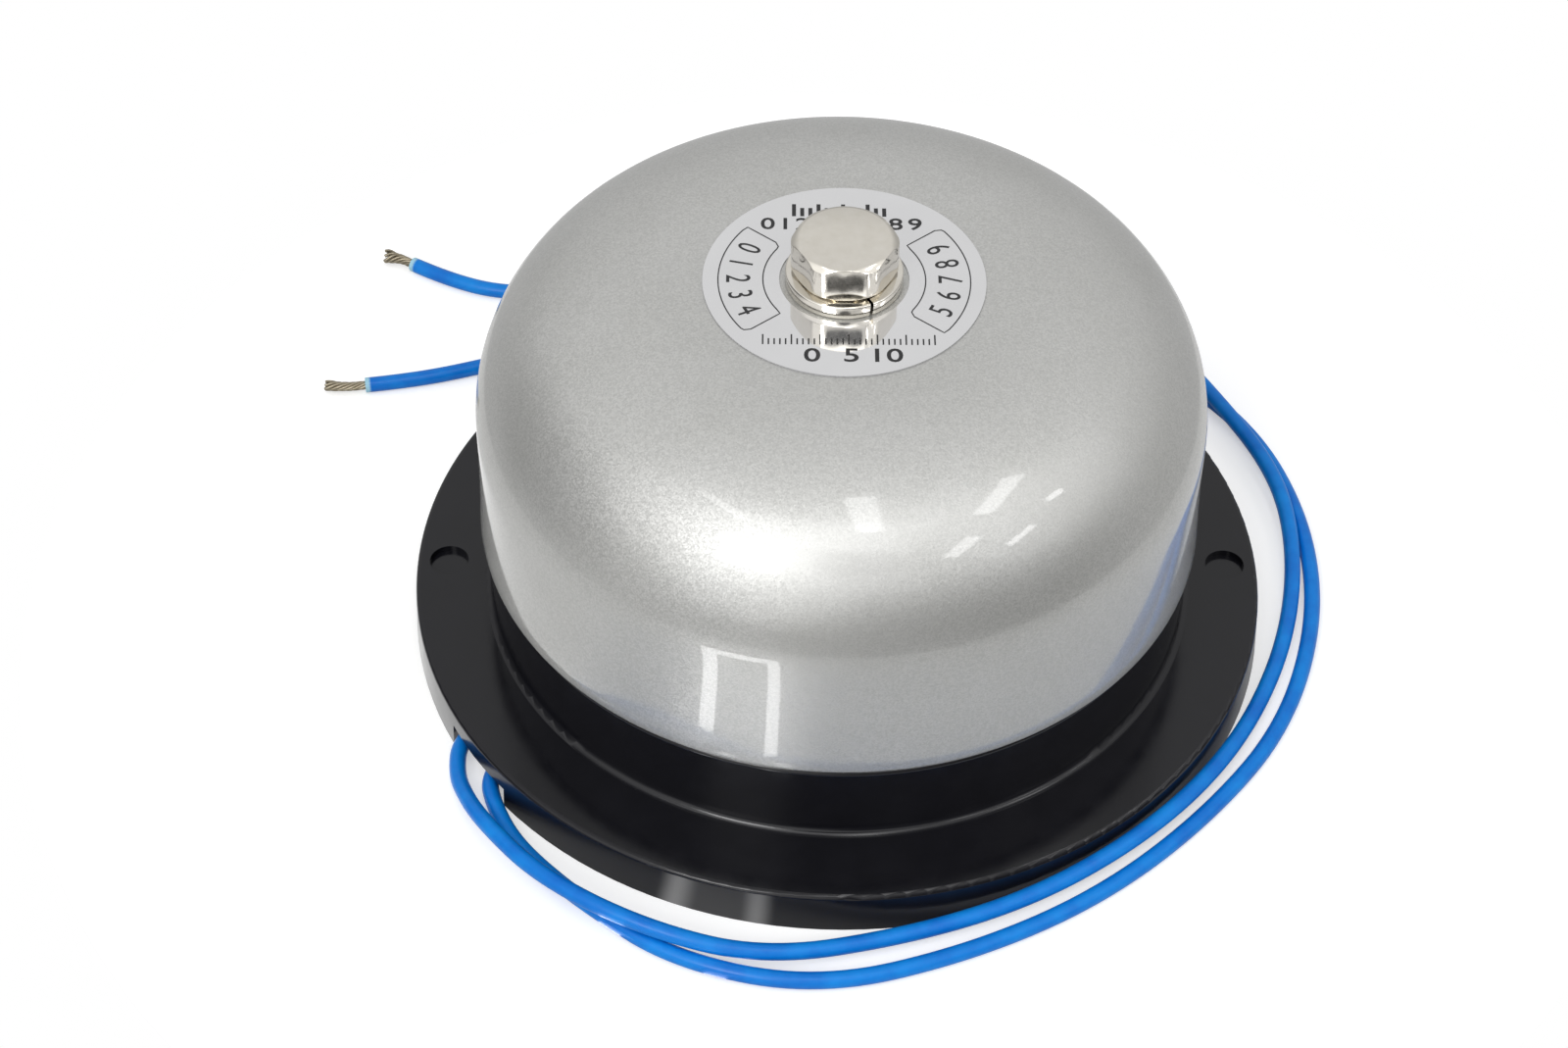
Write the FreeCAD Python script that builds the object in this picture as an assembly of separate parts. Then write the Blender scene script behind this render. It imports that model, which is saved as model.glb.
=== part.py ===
import FreeCAD, Part
import math
import os
from FreeCAD import Vector

# An electric trembler bell.  A black moulded base carries the mechanism on its deck, and the
# pressed gong stands over both on a central post.  Millimetres, +Z up, origin at the centre of
# the base's resting face; the two mounting holes lie on the X axis and the leads leave at the
# left front (-X, -Y).

# ---- driving dimensions ----------------------------------------------------------------------
# clearances
FIT = 0.05                # radial, between a round piece and the hole that holds it
SLACK = 0.2               # between loose neighbours

# moulded base
FLANGE_R = 46.8           # at the resting face
FLANGE_DRAFT = 0.3        # how far the rim leans in towards its top
FLANGE_T = 4.9
FLANGE_EDGE = 0.5
DRUM_R = 38.1
DRUM_H = 9.4              # above the flange
DRUM_WALL = 3.5
DRUM_EDGE = 0.5
DRUM_FOOT = 0.8           # fillet where the drum meets the flange
DECK_T = 2.5
BOSS_R = 3.0
BOSS_DROP = 3.5           # how far a screw boss hangs below the deck

# mounting holes in the underside, with a sunk mark above each
MOUNT_SPACING = 86.0
MOUNT_HOLE_R = 2.4        # coarse clearance for M4
MARK_R = 2.15
MARK_DEPTH = 0.7
MOUNT_WEB = 0.9           # skin left between the hole and the mark

# bottom cover
COVER_T = 1.2
COVER_SINK = 0.3          # the cover's face lies this far above the resting face
COVER_LEDGE = 2.0         # width of the ledge that it rests on
COVER_SCREW_ANGLES = (100.0, 220.0, 340.0)
COVER_SCREW_IN = 3.3      # screw centres, in from the cavity wall
COVER_BOSS_R = 2.8
COVER_SCREW_R = 1.3
COVER_HEAD_R = 2.3

# lead outlet: a channel under the flange, from its mouth in the rim through the drum's wall
OUTLET_ANGLE = -126.0     # the way the channel points
OUTLET_OFFSET = 16.16     # its line passes the bell's axis at this distance
CHANNEL_W = 7.4
MOUTH_FLARE_A = 0.3       # extra width at the mouth on lead A's side
MOUTH_FLARE_B = 2.1       # and on lead B's side
FLARE_L = 6.0
CHANNEL_H_MOUTH = 2.5
CHANNEL_H_INNER = 4.1
CHANNEL_H_WALL = 5.4      # where it passes through the drum's wall
SLOPE_END_OUT = 0.42      # the roof's slope ends this far outside the drum
STEP_IN = 1.08            # its step starts this far inside the drum's face
STEP_END_OUT = 0.83       # and ends this far short of the cavity
CHANNEL_PAST_WALL = 3.67  # the channel runs this far into the cavity
LEAD_R = 0.9

# gong
GONG_R = 38.35
GONG_WALL = 1.2
GONG_H = 31.4
LIP_GAP = 0.7             # between the drum's top and the lip
CROWN_FLAT_R = 17.0
CROWN_ARC_R = 29.4
SHOULDER_R = 15.7
GONG_HOLE_R = 3.3

# gong fastening
POST_R = 4.5
POST_FLAT_AF = 8.0        # across its two spanner flats
THREAD_R = 3.0            # M6
BOLT_SHANK_L = 16.0
HEAD_AF = 10.0
HEAD_H = 4.2
HEAD_TOP_R = 4.75
SPRING_WASHER_R = 6.0
SPRING_WASHER_T = 1.5
SPRING_WASHER_SPLIT = -66.0
SPRING_WASHER_GAP = 0.35
SEAT_WASHER_R = 7.0
SEAT_WASHER_T = 0.8
NUT_AF = 10.0
NUT_H = 5.0
POST_WASHER_R = 6.0
POST_WASHER_T = 1.0
STUD_BELOW_NUT = 0.8
LABEL_R = 14.4
LABEL_HOLE_R = 6.6
LABEL_T = 0.15

# yoke frame: a steel plate with one turned-up wall
FRAME_T = 2.0
FRAME_DISC_R = 35.0       # the plate's round edge
FRAME_X_MAX = 32.0
FRAME_Y_MIN = -9.6
YOKE_WALL_OVER = 6.0      # the turned-up wall ends this far above the coil's axis
YOKE_WALL_W = 14.0
BEND_R = 1.6              # outside the bend
TONGUE_X_MIN = -14.0
TONGUE_Y = (-3.5, 5.5)
FRAME_SCREWS = ((-10.5, 1.0), (25.0, 18.2))
SCREW_R = 1.5             # M3
SCREW_HEAD_R = 2.75
SCREW_HEAD_H = 1.8
SCREW_CLEAR = 0.2
LUG_T = 0.4
LUG_R = 3.0
LUG_TAIL_L = 4.4

# electromagnet
CORE_R = 3.5
CORE_SCREW_R = 2.0
CORE_SCREW_L = 8.0
CORE_SCREW_AF = 7.0
CORE_SCREW_H = 2.8
POLE_X = 21.05            # face of the pole; the coil lies to the left of it
POLE_PROUD = 0.55
BOBBIN_L = 23.5
BOBBIN_FLANGE_R = 8.5
BOBBIN_FLANGE_T = 1.2
BOBBIN_TUBE_T = 1.0
WINDING_IN = 1.05         # the winding stays this far inside the bobbin's flanges
TAPE_T = 0.2
COIL_POST_GAP = 0.5
COIL_FRAME_GAP = 0.4

# armature and its pivot
SWING_DEG = 4.5
ARM_GAP = 1.85            # armature to pole, at rest
ARM_T = 2.0
ARM_W = 9.4
ARM_PAST_COIL = 7.5
PIVOT_Y = -1.0
PIN_R = 1.25
PIN_HEAD_R = 2.2
PIN_HEAD_H = 0.9
BARREL_R = 2.6
BARREL_OVER = 7.5         # the barrel ends this far above the coil's axis
BARREL_END_GAP = 0.3
STUD_R = 1.0              # brass residual stud
STUD_PROUD = 0.25
BRACKET_T = 1.6
BRACKET_W = 7.0
BRACKET_BACK = 4.1        # pivot axis to the inside of the bracket's web
BRACKET_NOSE = 3.4        # pivot axis to the end of its top lug
BRACKET_FOOT_X = 9.2
BRACKET_SCREWS_X = (12.1, 17.9)

# return spring
SPRING_ARM = 6.0          # spring line to pivot
SPRING_POST_X = 9.0
SPRING_POST_R = 1.5
SPRING_POST_OVER = 3.5    # above the spring's line
SPRING_GROOVE_R = 1.1
SPRING_GROOVE_H = 1.0
SPRING_R = 1.8
SPRING_WIRE = 0.5
SPRING_BODY_L = 6.4
SPRING_LUG_X = 19.6
SPRING_LUG_T = 1.2
SPRING_LUG_W = 2.6
SPRING_EYE_R = 0.6

# hammer
HAMMER_R = 3.8
STRIKE_ANGLE = -66.86     # where the hammer stands round the gong at the end of its swing
STRIKE_GAP = 0.38         # to the gong, there
ROD_R = 1.0
ROD_BEND_Y = -14.0
ROD_BEND_R = 6.0
ROD_GRIP = 4.5
TAIL_R = 2.2
TAIL_L = 8.5

# contact breaker
STAND_GAP = 0.7           # from the pivot bracket to the insulator under the stand
LEAF_T = 0.3
LEAF_W = 5.0
LEAF_FOOT = (1.1, 6.5)    # y range riveted to the armature, past the coil's axis
LEAF_RUN = 2.0            # length of its joggle
LEAF_OFFSET = 1.0
LEAF_PAST = 2.0
LEAF_RIVETS = (2.5, 5.2)  # past the coil's axis
RIVET_R = 0.8
RIVET_HEAD_R = 1.3
RIVET_HEAD_H = 0.55
CONTACT_R = 1.5
CONTACT_T = 0.8
CONTACT_GAP = 0.05
TIP_R = 1.3
TIP_T = 0.85
CONTACT_SCREW_L = 6.7
CONTACT_SLOT = (0.5, 0.7)
LOCK_NUT_AF = 5.5
LOCK_NUT_H = 2.0
STAND_BACK = 3.0          # fixed tip's face to the bracket's inner face
STAND_T = 1.4
STAND_W = 10.4
STAND_OVER = 4.0          # the stand ends this far above the contacts
STAND_FOOT_T = 1.2
STAND_FOOT_L = 6.4
STAND_SCREW_IN = 2.6
STAND_SCREW_SPACING = 5.2
STAND_SCREW_R = 1.3
STAND_HEAD_R = 2.3
STAND_HEAD_H = 1.5
INSULATOR_T = 1.0
INSULATOR_EDGE = 0.6
BUSH_R = 2.0

# terminal strip and clamp in the cavity, along the outlet channel's line
CLAMP_IN = 5.87           # clamp centre, in from the cavity wall
STRIP_FROM_CLAMP = 9.3
STRIP_L = 15.0
STRIP_W = 9.0
STRIP_T = 1.2
STRIP_DROP = 3.1          # below the deck
STRIP_BOSS_R = 2.2
STRIP_SCREW_R = 1.0
STRIP_HEAD_R = 1.8
STRIP_HEAD_H = 1.1
TAG_SPACING = 9.0
TAG_L = 8.0
TAG_W = 3.0
TAG_T = 0.5
EYELET_R = 0.75
EYELET_IN = 1.5           # each from the strip's centre, away from the clamp
RESISTOR_IN = 3.7
RESISTOR_R = 1.5
RESISTOR_L = 5.6
RESISTOR_LEAD_R = 0.3
SOLDER_OUT = 0.7          # from the strip's centre, towards the clamp
SOLDER_R = 1.1
SOLDER_H = 1.8
CLAMP_L = 10.0
CLAMP_W = 4.0
CLAMP_WEB = 0.05          # between a lead's groove and the pocket of the screw's head
CLAMP_SPACING = 5.2       # between the two leads in the clamp
CLAMP_WIRE_Z = 4.45
CLAMP_PINCH = 0.15
CLAMP_SCREW_R = 1.0
CLAMP_HEAD_R = 1.6
CLAMP_HEAD_H = 1.3

# leads: insulated part then a bare twisted end; each path is laid by hand and starts at its tag
LEAD_A = (
    (-27.01, -2.03, 6.05), (-28.17, -3.97, 5.40), (-28.06, -6.71, 4.45), (-31.41, -11.32, 4.45),
    (-33.70, -14.47, 3.30), (-36.53, -18.36, 2.20), (-38.88, -21.59, 1.40), (-40.42, -23.81, 1.10),
    (-40.33, -27.34, 1.10), (-39.50, -30.10, 1.50), (-37.20, -34.80, 2.60), (-30.50, -42.80, 3.25),
    (-19.60, -49.10, 3.05), (-7.60, -51.60, 1.70), (6.60, -48.70, 1.55), (18.60, -44.70, 2.20),
    (29.00, -38.40, 2.80), (38.00, -29.80, 2.60), (45.10, -18.70, 1.50), (50.20, -5.50, 1.20),
    (51.90, 7.50, 1.90), (50.40, 17.50, 2.90), (44.60, 28.90, 3.50), (38.00, 40.30, 3.50),
    (27.50, 49.50, 1.50), (13.60, 55.30, 0.95), (-3.00, 57.00, 0.95), (-19.00, 53.50, 0.95),
    (-31.50, 49.40, 0.95), (-40.50, 49.00, 0.95), (-47.50, 51.50, 0.95), (-52.00, 54.30, 0.95),
)
LEAD_B = (
    (-19.73, -7.32, 6.05), (-21.22, -9.02, 5.40), (-23.86, -9.76, 4.45), (-27.21, -14.38, 4.45),
    (-29.50, -17.53, 3.30), (-32.32, -21.41, 2.20), (-34.91, -24.97, 1.30), (-37.04, -28.00, 1.00),
    (-36.04, -31.81, 0.95), (-34.10, -35.80, 0.95), (-31.20, -39.40, 0.95), (-25.80, -44.50, 0.95),
    (-16.50, -51.50, 0.95), (-2.20, -54.70, 0.95), (13.00, -50.30, 0.95), (26.50, -43.20, 0.95),
    (38.20, -32.90, 0.95), (48.00, -20.30, 0.95), (53.30, -4.20, 0.95), (53.50, 11.00, 0.95),
    (49.00, 26.00, 0.95), (38.60, 37.60, 0.95), (24.60, 46.00, 0.95), (9.00, 51.00, 0.95),
    (-6.50, 51.30, 0.95), (-20.50, 47.00, 0.95), (-32.00, 39.60, 0.95), (-42.00, 35.80, 0.95),
    (-50.00, 33.30, 0.95), (-55.80, 32.40, 0.95),
)
END_A = ((-52.00, 54.30, 0.95), (-53.61, 55.30, 0.95), (-55.50, 55.60, 0.75))
END_B = ((-55.80, 32.40, 0.95), (-58.37, 32.00, 0.95), (-60.70, 32.30, 0.80))
STRAND_R = 0.62

# wiring inside the bell
HOOKUP_R = 0.55
HOOKUP_HOLE_R = 1.6
COIL_LEAD_HOLE = (-10.0, 24.0)
CONTACT_LEAD_HOLE = (22.0, -14.2)

# ---- heights and places worked out from them -------------------------------------------------
DECK_TOP = FLANGE_T + DRUM_H
DECK_BOTTOM = DECK_TOP - DECK_T
CAVITY_R = DRUM_R - DRUM_WALL
COVER_TOP = COVER_SINK + COVER_T
BOSS_END = DECK_BOTTOM - BOSS_DROP
LIP_Z = DECK_TOP + LIP_GAP
CROWN_Z = LIP_Z + GONG_H
CROWN_UNDER = CROWN_Z - GONG_WALL
GONG_INNER_R = GONG_R - GONG_WALL
FRAME_TOP = DECK_TOP + FRAME_T
COIL_Y = POST_R + COIL_POST_GAP + BOBBIN_FLANGE_R
COIL_Z = FRAME_TOP + COIL_FRAME_GAP + BOBBIN_FLANGE_R
YOKE_X = POLE_X - POLE_PROUD - BOBBIN_L
WINDING_R = BOBBIN_FLANGE_R - WINDING_IN
ARM_IN = POLE_X + ARM_GAP
ARM_OUT = ARM_IN + ARM_T
PIVOT_X = ARM_IN + ARM_T / 2
PIVOT = (PIVOT_X, PIVOT_Y)
ARM_END_Y = COIL_Y + ARM_PAST_COIL
BRACKET_LOW = FRAME_TOP + BRACKET_T
BARREL_Z = BRACKET_LOW + BARREL_END_GAP
BARREL_TOP = COIL_Z + BARREL_OVER
BRACKET_HIGH = BARREL_TOP + BARREL_END_GAP
BRACKET_WEB_X = PIVOT_X + BRACKET_BACK
LEAF_OUT = ARM_OUT + LEAF_OFFSET + LEAF_T
TIP_X = LEAF_OUT + CONTACT_T + CONTACT_GAP
STAND_X = TIP_X + STAND_BACK
STAND_Z = FRAME_TOP + INSULATOR_T
CONTACT_Y = PIVOT_Y + BRACKET_W / 2 + STAND_GAP + INSULATOR_EDGE + STAND_W / 2
LEAF_RIVETS_Y = tuple(COIL_Y + y for y in LEAF_RIVETS)
STAND_FOOT_TOP = STAND_Z + STAND_FOOT_T
STAND_SCREWS = tuple((STAND_X - STAND_SCREW_IN, CONTACT_Y + s * STAND_SCREW_SPACING / 2) for s in (-1, 1))
BRACKET_SCREWS = tuple((x, PIVOT_Y) for x in BRACKET_SCREWS_X)
SPRING_Y = PIVOT_Y - SPRING_ARM
OUTLET_MOUTH = math.sqrt(FLANGE_R ** 2 - OUTLET_OFFSET ** 2)
OUTLET_DRUM = math.sqrt(DRUM_R ** 2 - OUTLET_OFFSET ** 2)
OUTLET_WALL = math.sqrt(CAVITY_R ** 2 - OUTLET_OFFSET ** 2)
CLAMP_AT = OUTLET_WALL - CLAMP_IN
STRIP_AT = CLAMP_AT - STRIP_FROM_CLAMP
EYELET_AT = STRIP_AT - EYELET_IN
RESISTOR_AT = STRIP_AT - RESISTOR_IN
SOLDER_AT = STRIP_AT + SOLDER_OUT
STRIP_TOP = DECK_BOTTOM - STRIP_DROP
STRIP_BOTTOM = STRIP_TOP - STRIP_T
TAG_BOTTOM = STRIP_BOTTOM - TAG_T
CLAMP_PAD_Z = CLAMP_WIRE_Z + LEAD_R + CLAMP_PINCH
CLAMP_BOTTOM = CLAMP_WIRE_Z - LEAD_R - CLAMP_PINCH - CLAMP_WEB - CLAMP_HEAD_H


# ---- helpers ---------------------------------------------------------------------------------
def cyl(r, z0, z1, x=0.0, y=0.0):
    return Part.makeCylinder(r, z1 - z0, Vector(x, y, z0))


def ring(r_in, r_out, z0, z1, x=0.0, y=0.0):
    return cyl(r_out, z0, z1, x, y).cut(cyl(r_in, z0 - 1, z1 + 1, x, y))


def box(x0, x1, y0, y1, z0, z1):
    return Part.makeBox(x1 - x0, y1 - y0, z1 - z0, Vector(x0, y0, z0))


def prism(points, z0, z1):
    """Plan outline of (x, y) corners, raised from z0 to z1."""
    loop = [Vector(x, y, z0) for x, y in points]
    return Part.Face(Part.makePolygon(loop + loop[:1])).extrude(Vector(0, 0, z1 - z0))


def lathe(points):
    """Half section of (radius, z) corners, turned round Z."""
    loop = [Vector(r, 0, z) for r, z in points]
    return Part.Face(Part.makePolygon(loop + loop[:1])).revolve(Vector(), Vector(0, 0, 1), 360)


def join(first, *others):
    return first.multiFuse(list(others)).removeSplitter()


def drill(shape, *tools):
    return shape.cut(Part.makeCompound(list(tools)))


def group(shapes):
    """Separate solids that share one node."""
    return Part.makeCompound(list(shapes))


def along_x(shape, x, y, z):
    """Stand a piece that was made on Z along +X, with its foot at the point."""
    shape.rotate(Vector(), Vector(0, 1, 0), 90)
    shape.translate(Vector(x, y, z))
    return shape


def rims(shape, z, r):
    """Round edges at one height and radius, about the Z axis."""
    found = []
    for edge in shape.Edges:
        if hasattr(edge.Curve, "Radius") and abs(edge.Curve.Radius - r) < 1e-4:
            if abs(edge.Curve.Center.z - z) < 1e-4:
                found.append(edge)
    return found


def on_line(edge, x, z):
    """True for a straight edge along Y at this x and z."""
    b = edge.BoundBox
    return max(abs(v) for v in (b.XMin - x, b.XMax - x, b.ZMin - z, b.ZMax - z)) < 1e-4


def hexagon(across_flats, z0, z1, x=0.0, y=0.0, turn=0.0):
    corner = across_flats / math.sqrt(3)
    angles = [math.radians(60 * i + turn) for i in range(6)]
    return prism([(x + corner * math.cos(a), y + corner * math.sin(a)) for a in angles], z0, z1)


def chamfered_hex(across_flats, height, top_r, turn=0.0):
    """Hexagon from z = 0, with its top corners turned down to a round face."""
    corner = across_flats / math.sqrt(3)
    drop = (corner - top_r) * math.tan(math.radians(30))
    cone = lathe([(0, 0), (corner + 0.1, 0), (corner + 0.1, height - drop), (top_r, height), (0, height)])
    return hexagon(across_flats, 0, height, turn=turn).common(cone)


def pan_screw(x, y, seat, head_r, head_h, shank_r, end, up=1):
    """Slotted pan head on its seat; end is the height of the shank's tip, up = -1 hangs it."""
    slot = head_r * 0.28
    edge = head_h * 0.45
    head = lathe([(0, 0), (head_r, 0), (head_r, head_h - edge), (head_r - edge, head_h), (0, head_h)])
    head = head.cut(box(-head_r, head_r, -slot / 2, slot / 2, head_h * 0.5, head_h + 1))
    screw = join(head, cyl(shank_r, -abs(seat - end), 0))
    if up < 0:
        screw.rotate(Vector(), Vector(1, 0, 0), 180)
    screw.translate(Vector(x, y, seat))
    return screw


def path(points):
    """Straight runs joined by tangent arcs, each as large as its two runs allow; and the radii."""
    p = [Vector(*q) for q in points]
    edges, radii, at = [], [], p[0]
    for before, corner, after in zip(p, p[1:], p[2:]):
        back = (before - corner).normalize()
        on = (after - corner).normalize()
        turn = math.pi - back.getAngle(on)
        reach = 0.45 * min((before - corner).Length, (after - corner).Length)
        radius = reach / math.tan(turn / 2)
        inward = (back + on).normalize()
        start, end = corner + back * reach, corner + on * reach
        middle = corner + inward * (math.hypot(reach, radius) - radius)
        edges.append(Part.LineSegment(at, start).toShape())
        edges.append(Part.Arc(start, middle, end).toShape())
        radii.append(round(radius, 1))
        at = end
    edges.append(Part.LineSegment(at, p[-1]).toShape())
    return Part.Wire(edges), radii


def tube(points, r, name=None):
    spine, radii = path(points)
    start = Vector(*points[0])
    way = Vector(*points[1]) - start
    section = Part.Wire(Part.Circle(start, way, r).toShape())
    solid = spine.makePipeShell([section], True, True)
    if name:
        share = solid.Volume / (math.pi * r * r * spine.Length)
        print(f"{name}: length {spine.Length:.1f} mm, volume / section x length {share:.4f}, radii {radii}")
    return solid


def outlet(a, b):
    """Plan point: a along the outlet's line from where it passes the axis, b across it."""
    way, side = math.radians(OUTLET_ANGLE), b - OUTLET_OFFSET
    return a * math.cos(way) - side * math.sin(way), a * math.sin(way) + side * math.cos(way)


def outlet_box(a0, a1, b0, b1, z0, z1):
    return prism([outlet(a0, b0), outlet(a1, b0), outlet(a1, b1), outlet(a0, b1)], z0, z1)


def outlet_rod(a, b0, b1, z, r):
    """Round rod across the channel's line."""
    start, end = Vector(*outlet(a, b0), z), Vector(*outlet(a, b1), z)
    return Part.makeCylinder(r, (end - start).Length, start, end - start)


# ---- base ------------------------------------------------------------------------------------
def base_housing():
    """Moulded flange and drum in one, hollow below the deck, with bosses for every screw."""
    top_r = FLANGE_R - FLANGE_DRAFT
    flange = [(0, 0), (FLANGE_R, 0), (top_r, FLANGE_T), (DRUM_R, FLANGE_T)]
    body = lathe(flange + [(DRUM_R, DECK_TOP), (0, DECK_TOP)])
    body = body.makeFillet(DRUM_FOOT, rims(body, FLANGE_T, DRUM_R))
    body = body.makeFillet(FLANGE_EDGE, rims(body, FLANGE_T, top_r))
    body = body.makeFillet(DRUM_EDGE, rims(body, DECK_TOP, DRUM_R))
    body = drill(body, cyl(CAVITY_R, -1, DECK_BOTTOM))
    screws = FRAME_SCREWS + BRACKET_SCREWS + STAND_SCREWS
    bosses = [cyl(BOSS_R, BOSS_END, DECK_BOTTOM, x, y) for x, y in screws]
    bosses += [cyl(COVER_BOSS_R, COVER_TOP, DECK_BOTTOM, x, y) for x, y in cover_screw_places()]
    bosses.append(cyl(STRIP_BOSS_R, STRIP_TOP, DECK_BOTTOM, *outlet(STRIP_AT, 0)))
    bosses.append(clamp_block(CLAMP_PAD_Z, DECK_BOTTOM))
    body = join(body, *bosses)
    body = drill(body, cyl(CAVITY_R + COVER_LEDGE, -1, COVER_TOP), outlet_channel())
    holes = [cyl(SCREW_R + FIT, BOSS_END - 1, DECK_TOP + 1, x, y) for x, y in FRAME_SCREWS + BRACKET_SCREWS]
    holes += [cyl(STAND_SCREW_R + FIT, BOSS_END - 1, DECK_TOP + 1, x, y) for x, y in STAND_SCREWS]
    holes += [cyl(COVER_SCREW_R + FIT, 0, DECK_BOTTOM - 1, x, y) for x, y in cover_screw_places()]
    holes += [cyl(HOOKUP_HOLE_R, 0, DECK_TOP + 1, x, y) for x, y in (COIL_LEAD_HOLE, CONTACT_LEAD_HOLE)]
    holes.append(cyl(STRIP_SCREW_R + FIT, 0, DECK_BOTTOM, *outlet(STRIP_AT, 0)))
    holes.append(cyl(CLAMP_SCREW_R + FIT, 0, DECK_BOTTOM, *outlet(CLAMP_AT, 0)))
    holes.append(cyl(THREAD_R + FIT, 0, DECK_TOP + 1))
    for side in (-1, 1):
        x = side * MOUNT_SPACING / 2
        holes.append(cyl(MARK_R, FLANGE_T - MARK_DEPTH, FLANGE_T + 1, x))
        holes.append(cyl(MOUNT_HOLE_R, -1, FLANGE_T - MARK_DEPTH - MOUNT_WEB, x))
    return drill(body, *holes)


def outlet_channel():
    """Channel under the flange for the two leads: flared at the rim, higher where it meets the drum."""
    half = CHANNEL_W / 2
    side_a, side_b = -half - MOUTH_FLARE_A, half + MOUTH_FLARE_B
    mouth, flare, end = OUTLET_MOUTH, OUTLET_MOUTH - FLARE_L, OUTLET_WALL - CHANNEL_PAST_WALL
    past = mouth + FLARE_L
    plan = [(end, -half), (flare, -half), (mouth, side_a), (past, side_a)]
    plan += [(past, side_b), (mouth, side_b), (flare, half), (end, half)]
    side = [(past, -1), (past, CHANNEL_H_MOUTH), (mouth, CHANNEL_H_MOUTH)]
    side += [(OUTLET_DRUM + SLOPE_END_OUT, CHANNEL_H_INNER), (OUTLET_DRUM - STEP_IN, CHANNEL_H_INNER)]
    side += [(OUTLET_WALL + STEP_END_OUT, CHANNEL_H_WALL), (end, CHANNEL_H_WALL), (end, -1)]
    loop = [Vector(*outlet(a, -CHANNEL_W), z) for a, z in side]
    across = Vector(*outlet(0, CHANNEL_W), 0) - Vector(*outlet(0, -CHANNEL_W), 0)
    roof = Part.Face(Part.makePolygon(loop + loop[:1])).extrude(across)
    return prism([outlet(a, b) for a, b in plan], -1, CHANNEL_H_WALL).common(roof)


def cover_screw_places():
    r = CAVITY_R - COVER_SCREW_IN
    return [(r * math.cos(math.radians(a)), r * math.sin(math.radians(a))) for a in COVER_SCREW_ANGLES]


def bottom_cover():
    disc = cyl(CAVITY_R + COVER_LEDGE - SLACK, COVER_SINK, COVER_TOP)
    sinks = []
    for x, y in cover_screw_places():
        cone = Part.makeCone(COVER_HEAD_R + FIT, COVER_SCREW_R + FIT, COVER_T, Vector(x, y, COVER_SINK))
        sinks.append(join(cone, cyl(COVER_SCREW_R + FIT, COVER_SINK, COVER_TOP + 1, x, y)))
    return drill(disc, *sinks)


def cover_screws():
    """Countersunk screws, their heads level with the cover."""
    screws = []
    for x, y in cover_screw_places():
        head = Part.makeCone(COVER_HEAD_R, COVER_SCREW_R, COVER_T, Vector(x, y, COVER_SINK))
        screw = join(head, cyl(COVER_SCREW_R, COVER_TOP, BOSS_END, x, y))
        slot = box(x - COVER_HEAD_R, x + COVER_HEAD_R, y - 0.3, y + 0.3, 0, COVER_SINK + COVER_T / 2)
        screws.append(screw.cut(slot))
    return group(screws)


# ---- gong and its fastening ------------------------------------------------------------------
def shoulder_split():
    """Angle from the vertical at which the crown's wide arc meets the shoulder's tight one."""
    return math.asin((GONG_R - CROWN_FLAT_R - SHOULDER_R) / (CROWN_ARC_R - SHOULDER_R))


def shoulder_foot():
    """Height at which the shoulder runs into the straight skirt."""
    return CROWN_Z - CROWN_ARC_R + (CROWN_ARC_R - SHOULDER_R) * math.cos(shoulder_split())


def gong():
    """Pressed cup: flat crown, a wide and a tight tangent arc, straight skirt, rounded lip."""
    split = shoulder_split()
    wide = (CROWN_FLAT_R, CROWN_Z - CROWN_ARC_R)
    tight = (GONG_R - SHOULDER_R, shoulder_foot())

    def on_arc(centre, r, angle):
        return Vector(centre[0] + r * math.sin(angle), 0, centre[1] + r * math.cos(angle))

    def side(inset):
        crown, shoulder = CROWN_ARC_R - inset, SHOULDER_R - inset
        start, meet = on_arc(wide, crown, 0), on_arc(wide, crown, split)
        foot = on_arc(tight, shoulder, math.pi / 2)
        rim, lip = Vector(GONG_HOLE_R, 0, start.z), Vector(foot.x, 0, LIP_Z)
        parts = [Part.LineSegment(rim, start)]
        parts.append(Part.Arc(start, on_arc(wide, crown, split / 2), meet))
        parts.append(Part.Arc(meet, on_arc(tight, shoulder, (split + math.pi / 2) / 2), foot))
        parts.append(Part.LineSegment(foot, lip))
        return [p.toShape() for p in parts], rim, lip

    outer, rim_out, lip_out = side(0)
    inner, rim_in, lip_in = side(GONG_WALL)
    ends = [Part.LineSegment(rim_out, rim_in).toShape(), Part.LineSegment(lip_out, lip_in).toShape()]
    section = Part.Wire(Part.__sortEdges__(outer + inner + ends))
    cup = Part.Face(section).revolve(Vector(), Vector(0, 0, 1), 360)
    return cup.makeFillet(GONG_WALL * 0.3, rims(cup, LIP_Z, GONG_R) + rims(cup, LIP_Z, GONG_INNER_R))


def gong_label():
    return ring(LABEL_HOLE_R, LABEL_R, CROWN_Z, CROWN_Z + LABEL_T)


def spring_washer():
    """Split ring; the cut slants across it."""
    washer = ring(THREAD_R + SLACK, SPRING_WASHER_R, CROWN_Z, CROWN_Z + SPRING_WASHER_T)
    half = SPRING_WASHER_GAP / 2
    low, high = CROWN_Z - 1, CROWN_Z + SPRING_WASHER_T + 1
    loop = [Vector(0, y, z) for y, z in ((-half * 3, low), (-half, low), (half * 3, high), (half, high))]
    cut = Part.Face(Part.makePolygon(loop + loop[:1])).extrude(Vector(SPRING_WASHER_R + 1, 0, 0))
    cut.rotate(Vector(), Vector(0, 0, 1), SPRING_WASHER_SPLIT)
    return washer.cut(cut)


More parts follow.
